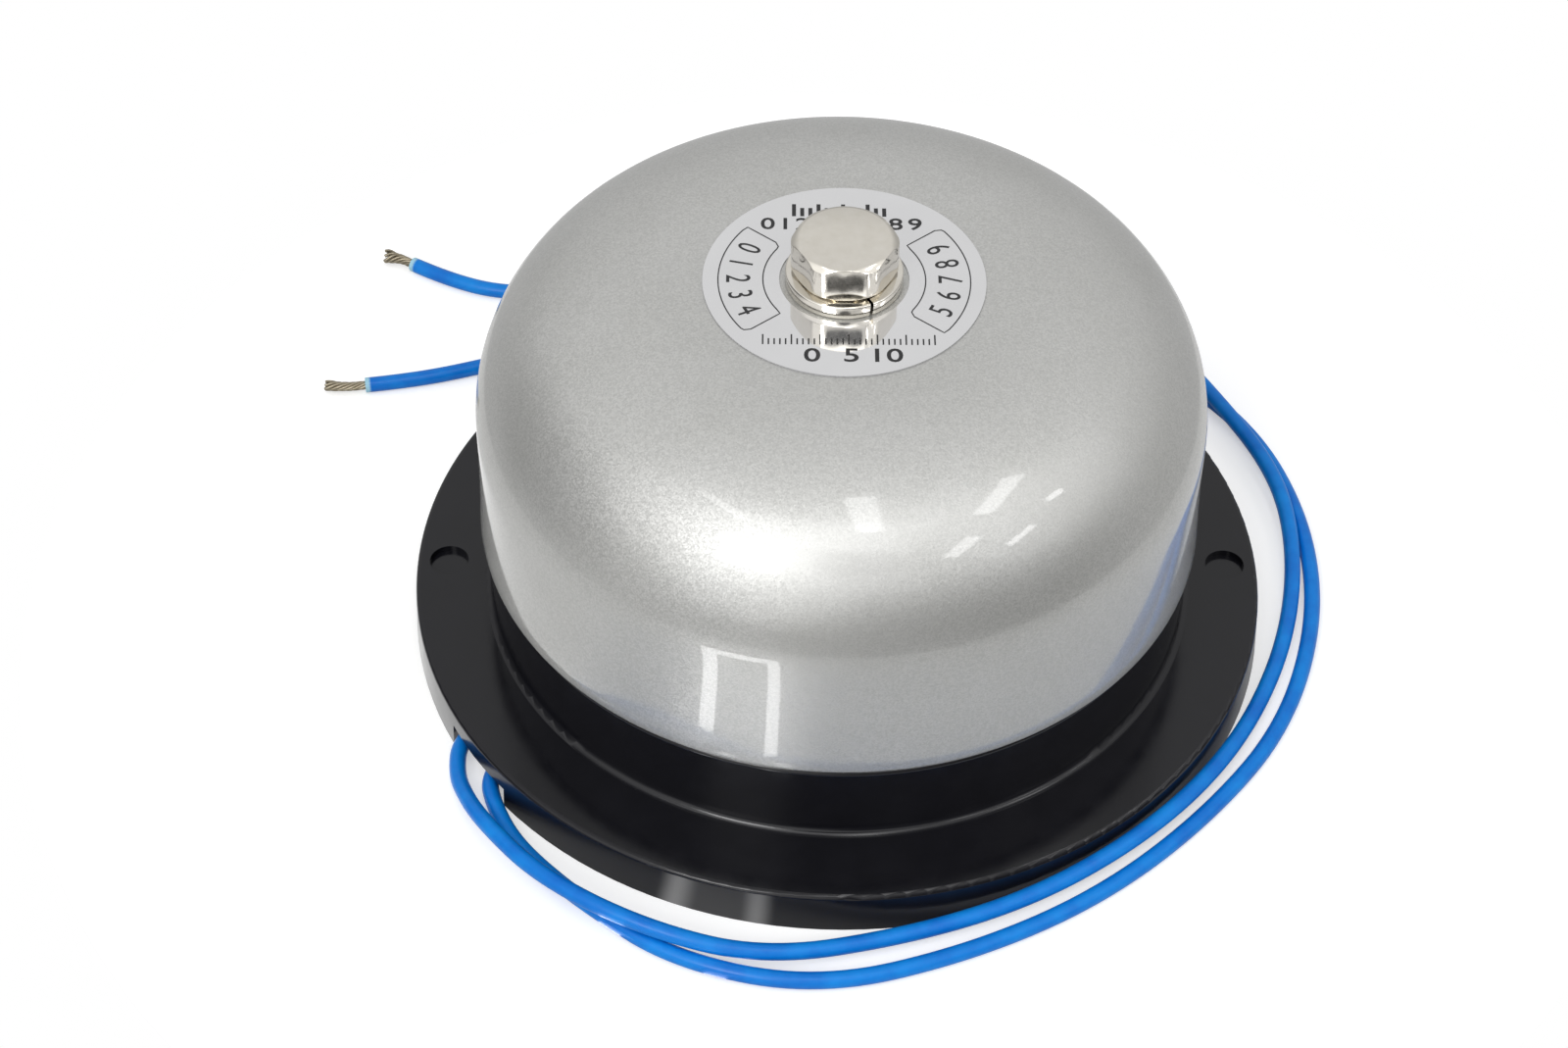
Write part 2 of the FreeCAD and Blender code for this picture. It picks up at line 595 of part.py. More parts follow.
def gong_bolt():
    """M6 hexagon screw; one flat of its head faces the front."""
    seat = CROWN_Z + SPRING_WASHER_T
    head = chamfered_hex(HEAD_AF, HEAD_H, HEAD_TOP_R)
    bolt = join(head, cyl(THREAD_R, -BOLT_SHANK_L, 0))
    bolt.translate(Vector(0, 0, seat))
    return bolt


def gong_post():
    """Round pillar with a threaded stud below and a tapped hole above."""
    top = CROWN_UNDER - SEAT_WASHER_T
    stud_end = DECK_BOTTOM - POST_WASHER_T - NUT_H - STUD_BELOW_NUT
    post = join(cyl(POST_R, FRAME_TOP, top), cyl(THREAD_R, stud_end, FRAME_TOP))
    tapped = CROWN_Z + SPRING_WASHER_T - BOLT_SHANK_L - 1
    flat = box(-POST_R, POST_R, POST_FLAT_AF / 2, POST_R + 1, top - 6, top - 2)
    other = flat.mirror(Vector(), Vector(0, 1, 0))
    return drill(post, cyl(THREAD_R + FIT, tapped, top + 1), flat, other)


def gong_seat_washer():
    return ring(THREAD_R + SLACK, SEAT_WASHER_R, CROWN_UNDER - SEAT_WASHER_T, CROWN_UNDER)


def post_washer():
    return ring(THREAD_R + SLACK, POST_WASHER_R, DECK_BOTTOM - POST_WASHER_T, DECK_BOTTOM)


def post_nut():
    top = DECK_BOTTOM - POST_WASHER_T
    return drill(hexagon(NUT_AF, top - NUT_H, top), cyl(THREAD_R + FIT, top - NUT_H - 1, top + 1))


# ---- yoke frame and pivot bracket ------------------------------------------------------------
def yoke_frame():
    """Steel plate with a round edge, a tongue past the coil and a turned-up wall that holds the core."""
    wall_y = (COIL_Y - YOKE_WALL_W / 2, COIL_Y + YOKE_WALL_W / 2)
    wall_x = YOKE_X - FRAME_T
    plate = box(wall_x, FRAME_X_MAX, FRAME_Y_MIN, wall_y[1] + 1, DECK_TOP, FRAME_TOP)
    plate = plate.common(cyl(FRAME_DISC_R, DECK_TOP, FRAME_TOP))
    tongue = box(TONGUE_X_MIN, wall_x + 1, *TONGUE_Y, DECK_TOP, FRAME_TOP)
    wall = box(wall_x, YOKE_X, *wall_y, DECK_TOP, COIL_Z + YOKE_WALL_OVER)
    frame = join(plate, tongue, wall)
    outside = [e for e in frame.Edges if on_line(e, wall_x, DECK_TOP)]
    frame = frame.makeFillet(BEND_R, outside)
    holes = [cyl(THREAD_R + SLACK, 0, FRAME_TOP + 1)]
    holes += [cyl(SCREW_R + SCREW_CLEAR, 0, FRAME_TOP + 1, x, y) for x, y in FRAME_SCREWS + BRACKET_SCREWS]
    holes += [cyl(BUSH_R + FIT, 0, FRAME_TOP + 1, x, y) for x, y in STAND_SCREWS]
    holes.append(cyl(PIN_R + SLACK, 0, FRAME_TOP + 1, *PIVOT))
    holes.append(cyl(SPRING_POST_R + FIT, 0, FRAME_TOP + 1, SPRING_POST_X, SPRING_Y))
    holes.append(along_x(cyl(CORE_SCREW_R + FIT, -5, 5), YOKE_X, COIL_Y, COIL_Z))
    return drill(frame, *holes)


def pivot_bracket():
    """C of steel strip: foot under the armature, web behind it and a lug over it, drilled for the pin."""
    y0, y1 = PIVOT_Y - BRACKET_W / 2, PIVOT_Y + BRACKET_W / 2
    back = BRACKET_WEB_X + BRACKET_T
    foot = box(BRACKET_FOOT_X, back, y0, y1, FRAME_TOP, BRACKET_LOW)
    web = box(BRACKET_WEB_X, back, y0, y1, FRAME_TOP, BRACKET_HIGH + BRACKET_T)
    lug = box(PIVOT_X - BRACKET_NOSE, back, y0, y1, BRACKET_HIGH, BRACKET_HIGH + BRACKET_T)
    holes = [cyl(PIN_R + FIT / 2, FRAME_TOP - 1, BRACKET_HIGH + BRACKET_T + 1, *PIVOT)]
    holes += [cyl(SCREW_R + SCREW_CLEAR, FRAME_TOP - 1, BRACKET_LOW + 1, x, y) for x, y in BRACKET_SCREWS]
    return drill(join(foot, web, lug), *holes)


def pivot_pin():
    top = BRACKET_HIGH + BRACKET_T
    head = cyl(PIN_HEAD_R, top, top + PIN_HEAD_H, *PIVOT)
    return join(cyl(PIN_R, FRAME_TOP - FRAME_T / 2, top, *PIVOT), head)


def frame_screws():
    lug_x, lug_y = FRAME_SCREWS[0]
    plain_x, plain_y = FRAME_SCREWS[1]
    end = BOSS_END + 0.5
    return group([
        pan_screw(lug_x, lug_y, FRAME_TOP + LUG_T, SCREW_HEAD_R, SCREW_HEAD_H, SCREW_R, end),
        pan_screw(plain_x, plain_y, FRAME_TOP, SCREW_HEAD_R, SCREW_HEAD_H, SCREW_R, end),
    ])


def bracket_screws():
    sizes = (BRACKET_LOW, SCREW_HEAD_R, SCREW_HEAD_H, SCREW_R, BOSS_END + 0.5)
    return group([pan_screw(x, y, *sizes) for x, y in BRACKET_SCREWS])


def frame_lug():
    """Solder tag under one frame screw, where one end of the coil is earthed to the frame."""
    x, y = FRAME_SCREWS[0]
    top = FRAME_TOP + LUG_T
    tail = box(x, x + LUG_TAIL_L, y - 1.2, y + 1.2, FRAME_TOP, top)
    return drill(join(cyl(LUG_R, FRAME_TOP, top, x, y), tail), cyl(SCREW_R + SLACK, 0, top + 1, x, y))


# ---- electromagnet ---------------------------------------------------------------------------
def coil_core():
    length = BOBBIN_L + POLE_PROUD
    core = drill(cyl(CORE_R, 0, length), cyl(CORE_SCREW_R + FIT, -1, CORE_SCREW_L))
    return along_x(core, YOKE_X, COIL_Y, COIL_Z)


def core_screw():
    """Hexagon screw that pulls the core against the yoke wall."""
    head = chamfered_hex(CORE_SCREW_AF, CORE_SCREW_H, CORE_SCREW_AF * 0.47)
    head.rotate(Vector(), Vector(1, 0, 0), 180)
    screw = join(head, cyl(CORE_SCREW_R, 0, CORE_SCREW_L + FRAME_T - 1))
    return along_x(screw, YOKE_X - FRAME_T, COIL_Y, COIL_Z)


def coil_bobbin():
    bore = CORE_R + FIT
    tube_r = bore + BOBBIN_TUBE_T
    flanges = [cyl(BOBBIN_FLANGE_R, z, z + BOBBIN_FLANGE_T) for z in (0, BOBBIN_L - BOBBIN_FLANGE_T)]
    bobbin = drill(join(cyl(tube_r, 0, BOBBIN_L), *flanges), cyl(bore, -1, BOBBIN_L + 1))
    return along_x(bobbin, YOKE_X, COIL_Y, COIL_Z)


def coil_layer(r_in, r_out):
    layer = ring(r_in, r_out, BOBBIN_FLANGE_T + FIT, BOBBIN_L - BOBBIN_FLANGE_T - FIT)
    return along_x(layer, YOKE_X, COIL_Y, COIL_Z)


def coil_winding():
    return coil_layer(CORE_R + BOBBIN_TUBE_T + 2 * FIT, WINDING_R)


def coil_tape():
    return coil_layer(WINDING_R + FIT, WINDING_R + FIT + TAPE_T)


# ---- armature, hammer and return spring ------------------------------------------------------
def armature():
    """Iron plate brazed to a barrel that turns on the pin; a tail carries the hammer and the spring eye."""
    z0, z1 = COIL_Z - ARM_W / 2, COIL_Z + ARM_W / 2
    plate = box(ARM_IN, ARM_OUT, PIVOT_Y, ARM_END_Y, z0, z1)
    barrel = cyl(BARREL_R, BARREL_Z, BARREL_TOP, *PIVOT)
    tail_end = PIVOT_Y - TAIL_L
    tail = Part.makeCylinder(TAIL_R, TAIL_L, Vector(PIVOT_X, tail_end, COIL_Z), Vector(0, 1, 0))
    half = SPRING_LUG_W / 2
    low, high = COIL_Z - SPRING_LUG_T / 2, COIL_Z + SPRING_LUG_T / 2
    eye = box(SPRING_LUG_X, PIVOT_X, SPRING_Y - half, SPRING_Y + half, low, high)
    holes = [cyl(PIN_R + FIT, 0, CROWN_Z, *PIVOT)]
    bore_foot = Vector(PIVOT_X, tail_end - 1, COIL_Z)
    holes.append(Part.makeCylinder(ROD_R + FIT, ROD_GRIP + 1, bore_foot, Vector(0, 1, 0)))
    holes.append(cyl(SPRING_EYE_R, 0, CROWN_Z, SPRING_LUG_X + half, SPRING_Y))
    holes += [along_x(cyl(RIVET_R + FIT, -1, ARM_T + 1), ARM_IN, y, COIL_Z) for y in LEAF_RIVETS_Y]
    holes.append(along_x(cyl(STUD_R + FIT, -1, ARM_T + 1), ARM_IN, COIL_Y, COIL_Z))
    return drill(join(plate, barrel, tail, eye), *holes)


def residual_stud():
    """Brass rivet that keeps the armature off the pole."""
    stud = join(cyl(STUD_R * 1.6, -STUD_PROUD, 0), cyl(STUD_R, 0, ARM_T - SLACK))
    return along_x(stud, ARM_IN, COIL_Y, COIL_Z)


def hammer_place():
    """Where the hammer rests: its place at the gong, swung back round the pivot."""
    lift = max(0, COIL_Z - shoulder_foot())
    reach = SHOULDER_R - GONG_WALL - HAMMER_R - STRIKE_GAP
    angle, r = math.radians(STRIKE_ANGLE), GONG_R - SHOULDER_R + math.sqrt(reach ** 2 - lift ** 2)
    x, y = r * math.cos(angle) - PIVOT_X, r * math.sin(angle) - PIVOT_Y
    back = math.radians(-SWING_DEG)
    x, y = x * math.cos(back) - y * math.sin(back), x * math.sin(back) + y * math.cos(back)
    return Vector(PIVOT_X + x, PIVOT_Y + y, COIL_Z)


def hammer_rod():
    """Steel wire from the armature's tail to the middle of the hammer, bent once."""
    start = Vector(PIVOT_X, PIVOT_Y - TAIL_L + ROD_GRIP, COIL_Z)
    corner = Vector(PIVOT_X, ROD_BEND_Y, COIL_Z)
    end = hammer_place()
    back = (start - corner).normalize()
    on = (end - corner).normalize()
    turn = math.pi - back.getAngle(on)
    reach = ROD_BEND_R * math.tan(turn / 2)
    inward = (back + on).normalize()
    middle = corner + inward * (math.hypot(reach, ROD_BEND_R) - ROD_BEND_R)
    bend_start, bend_end = corner + back * reach, corner + on * reach
    bend = Part.Arc(bend_start, middle, bend_end)
    runs = (Part.LineSegment(start, bend_start), bend, Part.LineSegment(bend_end, end))
    spine = Part.Wire([run.toShape() for run in runs])
    section = Part.Wire(Part.Circle(start, Vector(0, -1, 0), ROD_R).toShape())
    return spine.makePipeShell([section], True, True)


def hammer_head():
    """Turned brass ball, drilled to its middle for the rod."""
    centre = hammer_place()
    way = (Vector(PIVOT_X, ROD_BEND_Y, COIL_Z) - centre).normalize()
    bore = Part.makeCylinder(ROD_R + FIT, HAMMER_R + 1, centre, way)
    return drill(Part.makeSphere(HAMMER_R, centre), bore)


def spring_post():
    half = SPRING_GROOVE_H / 2
    groove = ring(SPRING_GROOVE_R, SPRING_POST_R + 1, COIL_Z - half, COIL_Z + half)
    post = cyl(SPRING_POST_R, DECK_TOP + FIT, COIL_Z + SPRING_POST_OVER).cut(groove)
    post.translate(Vector(SPRING_POST_X, SPRING_Y, 0))
    return post


def return_spring():
    """Close-wound tension spring as its outer tube, with a straight hook at each end."""
    left, right = SPRING_POST_X + SPRING_GROOVE_R + SLACK / 2, SPRING_LUG_X - SLACK / 2
    length = right - left
    start = (length - SPRING_BODY_L) / 2
    end = start + SPRING_BODY_L
    hooks = [cyl(SPRING_WIRE / 2, 0, start), cyl(SPRING_WIRE / 2, end, length)]
    discs = [cyl(SPRING_R, z, z + SPRING_WIRE) for z in (start, end - SPRING_WIRE)]
    body = ring(SPRING_R - SPRING_WIRE, SPRING_R, start, end)
    return along_x(join(body, *hooks, *discs), left, SPRING_Y, COIL_Z)


# ---- contact breaker -------------------------------------------------------------------------
def contact_leaf():
    """Phosphor-bronze strip riveted to the armature, joggled outwards to carry the moving contact."""
    foot, top = (COIL_Y + y for y in LEAF_FOOT)
    bend = foot - LEAF_RUN
    end = CONTACT_Y - LEAF_PAST
    x0, x1 = ARM_OUT, ARM_OUT + LEAF_OFFSET
    line = [(x0, top), (x0, foot), (x1, bend), (x1, end)]
    back = [(x + LEAF_T, y) for x, y in reversed(line)]
    leaf = prism(line + back, COIL_Z - LEAF_W / 2, COIL_Z + LEAF_W / 2)
    holes = [cyl(RIVET_R + FIT, -1, LEAF_T + 1) for _ in LEAF_RIVETS_Y]
    return drill(leaf, *[along_x(hole, ARM_OUT, y, COIL_Z) for hole, y in zip(holes, LEAF_RIVETS_Y)])


def leaf_rivets():
    length = ARM_T + LEAF_T
    rivets = []
    for y in LEAF_RIVETS_Y:
        rivet = join(cyl(RIVET_R, 0, length), cyl(RIVET_HEAD_R, length, length + RIVET_HEAD_H))
        rivets.append(along_x(rivet, ARM_IN, y, COIL_Z))
    return group(rivets)


def moving_contact():
    return along_x(cyl(CONTACT_R, 0, CONTACT_T), LEAF_OUT, CONTACT_Y, COIL_Z)


def contact_tip():
    return along_x(cyl(TIP_R, 0, TIP_T), TIP_X, CONTACT_Y, COIL_Z)


def contact_screw():
    """Adjusting screw with the fixed contact on its nose and a driver slot in its tail."""
    width, depth = CONTACT_SLOT
    reach = SCREW_R + 1
    slot = box(-reach, reach, -width / 2, width / 2, CONTACT_SCREW_L - depth, CONTACT_SCREW_L + 1)
    return along_x(cyl(SCREW_R, 0, CONTACT_SCREW_L).cut(slot), TIP_X + TIP_T, CONTACT_Y, COIL_Z)


def contact_lock_nut():
    nut = drill(hexagon(LOCK_NUT_AF, 0, LOCK_NUT_H), cyl(SCREW_R + FIT, -1, LOCK_NUT_H + 1))
    return along_x(nut, STAND_X + STAND_T, CONTACT_Y, COIL_Z)


def contact_stand():
    """Brass angle that holds the contact screw."""
    y0, y1 = CONTACT_Y - STAND_W / 2, CONTACT_Y + STAND_W / 2
    wall = box(STAND_X, STAND_X + STAND_T, y0, y1, STAND_Z, COIL_Z + STAND_OVER)
    foot = box(STAND_X - STAND_FOOT_L, STAND_X + STAND_T, y0, y1, STAND_Z, STAND_FOOT_TOP)
    holes = [along_x(cyl(SCREW_R + FIT, -1, STAND_T + 1), STAND_X, CONTACT_Y, COIL_Z)]
    holes += [cyl(STAND_SCREW_R + SLACK, STAND_Z - 1, STAND_FOOT_TOP + 1, x, y) for x, y in STAND_SCREWS]
    return drill(join(wall, foot), *holes)


def contact_insulator():
    y0, y1 = CONTACT_Y - STAND_W / 2 - INSULATOR_EDGE, CONTACT_Y + STAND_W / 2 + INSULATOR_EDGE
    x0, x1 = STAND_X - STAND_FOOT_L - INSULATOR_EDGE, STAND_X + STAND_T + INSULATOR_EDGE
    plate = box(x0, x1, y0, y1, FRAME_TOP, STAND_Z)
    return drill(plate, *[cyl(BUSH_R + FIT, 0, STAND_Z + 1, x, y) for x, y in STAND_SCREWS])


def contact_bushes():
    return group([ring(STAND_SCREW_R + FIT, BUSH_R, DECK_TOP, STAND_Z, x, y) for x, y in STAND_SCREWS])


def stand_screws():
    sizes = (STAND_FOOT_TOP, STAND_HEAD_R, STAND_HEAD_H, STAND_SCREW_R, BOSS_END + 0.5)
    return group([pan_screw(x, y, *sizes) for x, y in STAND_SCREWS])


# ---- wiring in the cavity --------------------------------------------------------------------
def terminal_strip():
    half_l, half_w = STRIP_L / 2, STRIP_W / 2
    strip = outlet_box(STRIP_AT - half_w, STRIP_AT + half_w, -half_l, half_l, STRIP_BOTTOM, STRIP_TOP)
    holes = [cyl(STRIP_SCREW_R + FIT, 0, STRIP_TOP + 1, *outlet(STRIP_AT, 0))]
    holes += [cyl(EYELET_R, 0, STRIP_TOP + 1, *outlet(EYELET_AT, s * TAG_SPACING / 2)) for s in (-1, 1)]
    return drill(strip, *holes)


def terminal_tags():
    tags = []
    for b in (-TAG_SPACING / 2, TAG_SPACING / 2):
        plan = (STRIP_AT - TAG_L / 2, STRIP_AT + TAG_L / 2, b - TAG_W / 2, b + TAG_W / 2)
        tags.append(outlet_box(*plan, TAG_BOTTOM, STRIP_BOTTOM))
    return group(tags)


def strip_screw():
    sizes = (STRIP_BOTTOM, STRIP_HEAD_R, STRIP_HEAD_H, STRIP_SCREW_R, DECK_BOTTOM - 0.5)
    return pan_screw(*outlet(STRIP_AT, 0), *sizes, up=-1)


def solder_joints():
    """One bead on each tag, at the end of its lead."""
    places = [outlet(SOLDER_AT, side * TAG_SPACING / 2) for side in (-1, 1)]
    return group([cyl(SOLDER_R, TAG_BOTTOM - SOLDER_H, TAG_BOTTOM, x, y) for x, y in places])


def quench_resistor():
    """Small resistor across the two tags, against sparking at the contacts."""
    z = TAG_BOTTOM - RESISTOR_R + 0.4
    half = TAG_SPACING / 2
    body = outlet_rod(RESISTOR_AT, -RESISTOR_L / 2, RESISTOR_L / 2, z, RESISTOR_R)
    lead = outlet_rod(RESISTOR_AT, -half, half, z, RESISTOR_LEAD_R)
    risers = [cyl(RESISTOR_LEAD_R, z, TAG_BOTTOM, *outlet(RESISTOR_AT, s * half)) for s in (-1, 1)]
    return join(body, lead, *risers)


def clamp_block(z0, z1):
    half_l, half_w = CLAMP_L / 2, CLAMP_W / 2
    return outlet_box(CLAMP_AT - half_w, CLAMP_AT + half_w, -half_l, half_l, z0, z1)


def lead_clamp():
    """Saddle that grips both leads against a pad under the deck."""
    x, y = outlet(CLAMP_AT, 0)
    tools = [cyl(CLAMP_HEAD_R + SLACK, 0, CLAMP_BOTTOM + CLAMP_HEAD_H, x, y)]
    tools.append(cyl(CLAMP_SCREW_R + FIT, 0, CLAMP_PAD_Z, x, y))
    for b in (-CLAMP_SPACING / 2, CLAMP_SPACING / 2):
        start = Vector(*outlet(CLAMP_AT - CLAMP_W, b), CLAMP_WIRE_Z)
        way = Vector(*outlet(CLAMP_AT + CLAMP_W, b), CLAMP_WIRE_Z) - start
        tools.append(Part.makeCylinder(LEAD_R + CLAMP_PINCH, way.Length, start, way))
    return drill(clamp_block(CLAMP_BOTTOM, CLAMP_WIRE_Z), *tools)


def clamp_screw():
    seat = CLAMP_BOTTOM + CLAMP_HEAD_H
    sizes = (seat, CLAMP_HEAD_R, CLAMP_HEAD_H - SLACK / 2, CLAMP_SCREW_R, DECK_BOTTOM - 1)
    return pan_screw(*outlet(CLAMP_AT, 0), *sizes, up=-1)


def coil_leads():
    """Sleeved wires from the coil: one to its tag through the deck, one to the lug on the frame."""
    x0 = YOKE_X + BOBBIN_FLANGE_T / 2
    tag_x, tag_y = outlet(EYELET_AT, -TAG_SPACING / 2)
    hole_x, hole_y = COIL_LEAD_HOLE
    under = DECK_BOTTOM - 1.8
    rim = COIL_Y + BOBBIN_FLANGE_R + 0.05
    to_tag = [(x0, rim, COIL_Z), (x0, rim + 2.4, COIL_Z), (hole_x + 4.0, hole_y + 2.0, COIL_Z - 4.2)]
    to_tag += [(hole_x + 0.4, hole_y + 1.0, FRAME_TOP + 0.8), (hole_x, hole_y, DECK_TOP - 0.8)]
    to_tag += [(hole_x - 0.2, hole_y - 0.5, under + 0.3), (-15.0, 16.0, under), (-21.0, 8.0, under)]
    to_tag += [(tag_x, tag_y, under - 0.2), (tag_x, tag_y, STRIP_BOTTOM + 0.05)]
    lug_x, lug_y = FRAME_SCREWS[0]
    tail = lug_x + LUG_TAIL_L - 0.8
    low = COIL_Y - BOBBIN_FLANGE_R + 0.5
    to_lug = [(YOKE_X - 0.05, low, COIL_Z + 1.6), (YOKE_X - 2.4, low, COIL_Z + 1.6)]
    to_lug += [(YOKE_X - 4.0, low - 1.8, COIL_Z - 3.0), (tail, lug_y, FRAME_TOP + LUG_T + 2.6)]
    to_lug += [(tail, lug_y, FRAME_TOP + LUG_T + 0.05)]
    return group([tube(to_tag, HOOKUP_R), tube(to_lug, HOOKUP_R)])


def contact_lead():
    """Sleeved wire from the contact stand round the pivot bracket, through the deck to its tag."""
    x0, y0 = STAND_X + STAND_T / 2, CONTACT_Y - STAND_W / 2 - 0.05
    hole_x, hole_y = CONTACT_LEAD_HOLE
    tag_x, tag_y = outlet(EYELET_AT, TAG_SPACING / 2)
    low = FRAME_TOP + HOOKUP_R + 0.25
    side = BRACKET_WEB_X + BRACKET_T + HOOKUP_R + 0.9
    under = DECK_BOTTOM - 1.8
    points = [(x0, y0, STAND_Z + 3.6), (x0, y0 - 1.6, STAND_Z + 3.6), (side, PIVOT_Y - 0.5, low + 0.3)]
    points += [(side - 0.8, PIVOT_Y - 6.0, low), (26.8, -11.8, low)]
    points += [(hole_x + 0.5, hole_y + 0.3, low - 0.6)]
    points += [(hole_x, hole_y, DECK_TOP - 1.4), (hole_x - 0.3, hole_y, under + 0.3)]
    points += [(17.0, -14.6, under), (9.0, -14.4, under - 0.1), (0.0, -13.2, under), (-9.0, -9.4, under)]
    points += [(tag_x, tag_y, under - 0.2), (tag_x, tag_y, STRIP_BOTTOM + 0.05)]
    return tube(points, HOOKUP_R)


# ---- the free leads --------------------------------------------------------------------------
def lead_wire_a():
    return tube(LEAD_A, LEAD_R, "lead_wire_a")


def lead_wire_b():
    return tube(LEAD_B, LEAD_R, "lead_wire_b")


def lead_end_a():
    return tube(END_A, STRAND_R)


def lead_end_b():
    return tube(END_B, STRAND_R)


PIECES = (
    base_housing, bottom_cover, cover_screws,
    gong, gong_label, spring_washer, gong_bolt, gong_post, gong_seat_washer, post_washer, post_nut,
    yoke_frame, pivot_bracket, pivot_pin, frame_screws, bracket_screws, frame_lug,
    coil_core, core_screw, coil_bobbin, coil_winding, coil_tape,
    armature, residual_stud, hammer_rod, hammer_head, spring_post, return_spring,
    contact_leaf, leaf_rivets, moving_contact, contact_tip, contact_screw, contact_lock_nut,
    contact_stand, contact_insulator, contact_bushes, stand_screws,
    terminal_strip, terminal_tags, strip_screw, solder_joints, quench_resistor,
    lead_clamp, clamp_screw, coil_leads, contact_lead,
    lead_wire_a, lead_wire_b, lead_end_a, lead_end_b,
)

os.makedirs("parts", exist_ok=True)
for piece in PIECES:
    piece().exportStep(f"parts/{piece.__name__}.step")
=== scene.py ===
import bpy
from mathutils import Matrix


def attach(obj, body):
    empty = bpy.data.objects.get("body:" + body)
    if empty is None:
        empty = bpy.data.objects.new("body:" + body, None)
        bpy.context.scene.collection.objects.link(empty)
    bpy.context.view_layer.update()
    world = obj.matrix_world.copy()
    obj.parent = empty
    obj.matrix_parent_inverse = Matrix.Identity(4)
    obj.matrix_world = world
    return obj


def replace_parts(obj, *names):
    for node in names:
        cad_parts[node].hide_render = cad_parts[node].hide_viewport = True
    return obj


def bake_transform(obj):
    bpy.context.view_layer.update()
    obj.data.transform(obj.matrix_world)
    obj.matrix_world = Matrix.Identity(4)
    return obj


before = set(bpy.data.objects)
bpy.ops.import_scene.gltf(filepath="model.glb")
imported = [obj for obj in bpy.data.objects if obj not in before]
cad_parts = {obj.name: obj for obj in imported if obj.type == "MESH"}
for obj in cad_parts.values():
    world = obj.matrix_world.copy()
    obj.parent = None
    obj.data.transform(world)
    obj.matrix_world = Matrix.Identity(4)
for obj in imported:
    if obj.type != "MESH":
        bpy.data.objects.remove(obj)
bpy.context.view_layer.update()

import math

import bmesh
import bpy
from mathutils import Matrix, Vector

MM = 0.001

# ---- Camera ----------------------------------------------------------------------------------
# A 71 mm lens on a 36 mm wide sensor.  It stands 0.35 m away, a little left of the middle, and
# looks down at the gong's front shoulder.
CAMERA_PLACE = Vector((-0.006641, -0.236277, 0.25373))
YAW, PITCH, ROLL = 0.0031, 0.799, 0.008
LENS, SENSOR_W, NEAREST = 71.0, 36.0, 0.01


def placed(name, data):
    """A new object in the scene."""
    obj = bpy.data.objects.new(name, data)
    bpy.context.scene.collection.objects.link(obj)
    return obj


forward = Vector((math.sin(YAW) * math.cos(PITCH), math.cos(YAW) * math.cos(PITCH), -math.sin(PITCH)))
level = forward.cross(Vector((0, 0, 1))).normalized()
upward = level.cross(forward)
across = level * math.cos(ROLL) + upward * math.sin(ROLL)
upright = upward * math.cos(ROLL) - level * math.sin(ROLL)
aim = Matrix((across, upright, -forward)).transposed().to_4x4()
camera = placed("camera", bpy.data.cameras.new("camera"))
camera.data.lens = LENS
camera.data.sensor_width = SENSOR_W
camera.data.clip_start = NEAREST
camera.matrix_world = Matrix.Translation(CAMERA_PLACE) @ aim
bpy.context.scene.camera = camera
bpy.context.scene.view_settings.view_transform = "Standard"


# ---- Flying leads ----------------------------------------------------------------------------
# Two 300 mm lengths of stranded copper in blue PVC, 1.8 mm over the insulation.  Each is soldered
# to its tag, held by the clamp, and leaves through the outlet to lie once round the base.
LEAD_R = 0.9 * MM
CUT_R = (0.96, 1.12)    # the paler cut end: its full colour, and where that fades out
LEAD_A = (
    (-27.01, -2.03, 6.05), (-28.17, -3.97, 5.40), (-28.06, -6.71, 4.45), (-31.41, -11.32, 4.45),
    (-33.70, -14.47, 3.30), (-36.53, -18.36, 2.20), (-38.88, -21.59, 1.40), (-40.42, -23.81, 1.10),
    (-40.33, -27.34, 1.10), (-39.50, -30.10, 1.50), (-37.20, -34.80, 2.60), (-30.50, -42.80, 3.25),
    (-19.60, -49.10, 3.05), (-7.60, -51.60, 1.70), (6.60, -48.70, 1.55), (18.60, -44.70, 2.20),
    (29.00, -38.40, 2.80), (38.00, -29.80, 2.60), (45.10, -18.70, 1.50), (50.20, -5.50, 1.20),
    (51.90, 7.50, 1.90), (50.40, 17.50, 2.90), (44.60, 28.90, 3.50), (38.00, 40.30, 3.50),
    (27.50, 49.50, 1.50), (13.60, 55.30, 0.95), (-3.00, 57.00, 0.95), (-19.00, 53.50, 0.95),
    (-31.50, 49.40, 0.95), (-40.50, 49.00, 0.95), (-47.50, 51.50, 0.95), (-52.00, 54.30, 0.95),
)
LEAD_B = (
    (-19.73, -7.32, 6.05), (-21.22, -9.02, 5.40), (-23.86, -9.76, 4.45), (-27.21, -14.38, 4.45),
    (-29.50, -17.53, 3.30), (-32.32, -21.41, 2.20), (-34.91, -24.97, 1.30), (-37.04, -28.00, 1.00),
    (-36.04, -31.81, 0.95), (-34.10, -35.80, 0.95), (-31.20, -39.40, 0.95), (-25.80, -44.50, 0.95),
    (-16.50, -51.50, 0.95), (-2.20, -54.70, 0.95), (13.00, -50.30, 0.95), (26.50, -43.20, 0.95),
    (38.20, -32.90, 0.95), (48.00, -20.30, 0.95), (53.30, -4.20, 0.95), (53.50, 11.00, 0.95),
    (49.00, 26.00, 0.95), (38.60, 37.60, 0.95), (24.60, 46.00, 0.95), (9.00, 51.00, 0.95),
    (-6.50, 51.30, 0.95), (-20.50, 47.00, 0.95), (-32.00, 39.60, 0.95), (-42.00, 35.80, 0.95),
    (-50.00, 33.30, 0.95), (-55.80, 32.40, 0.95),
)


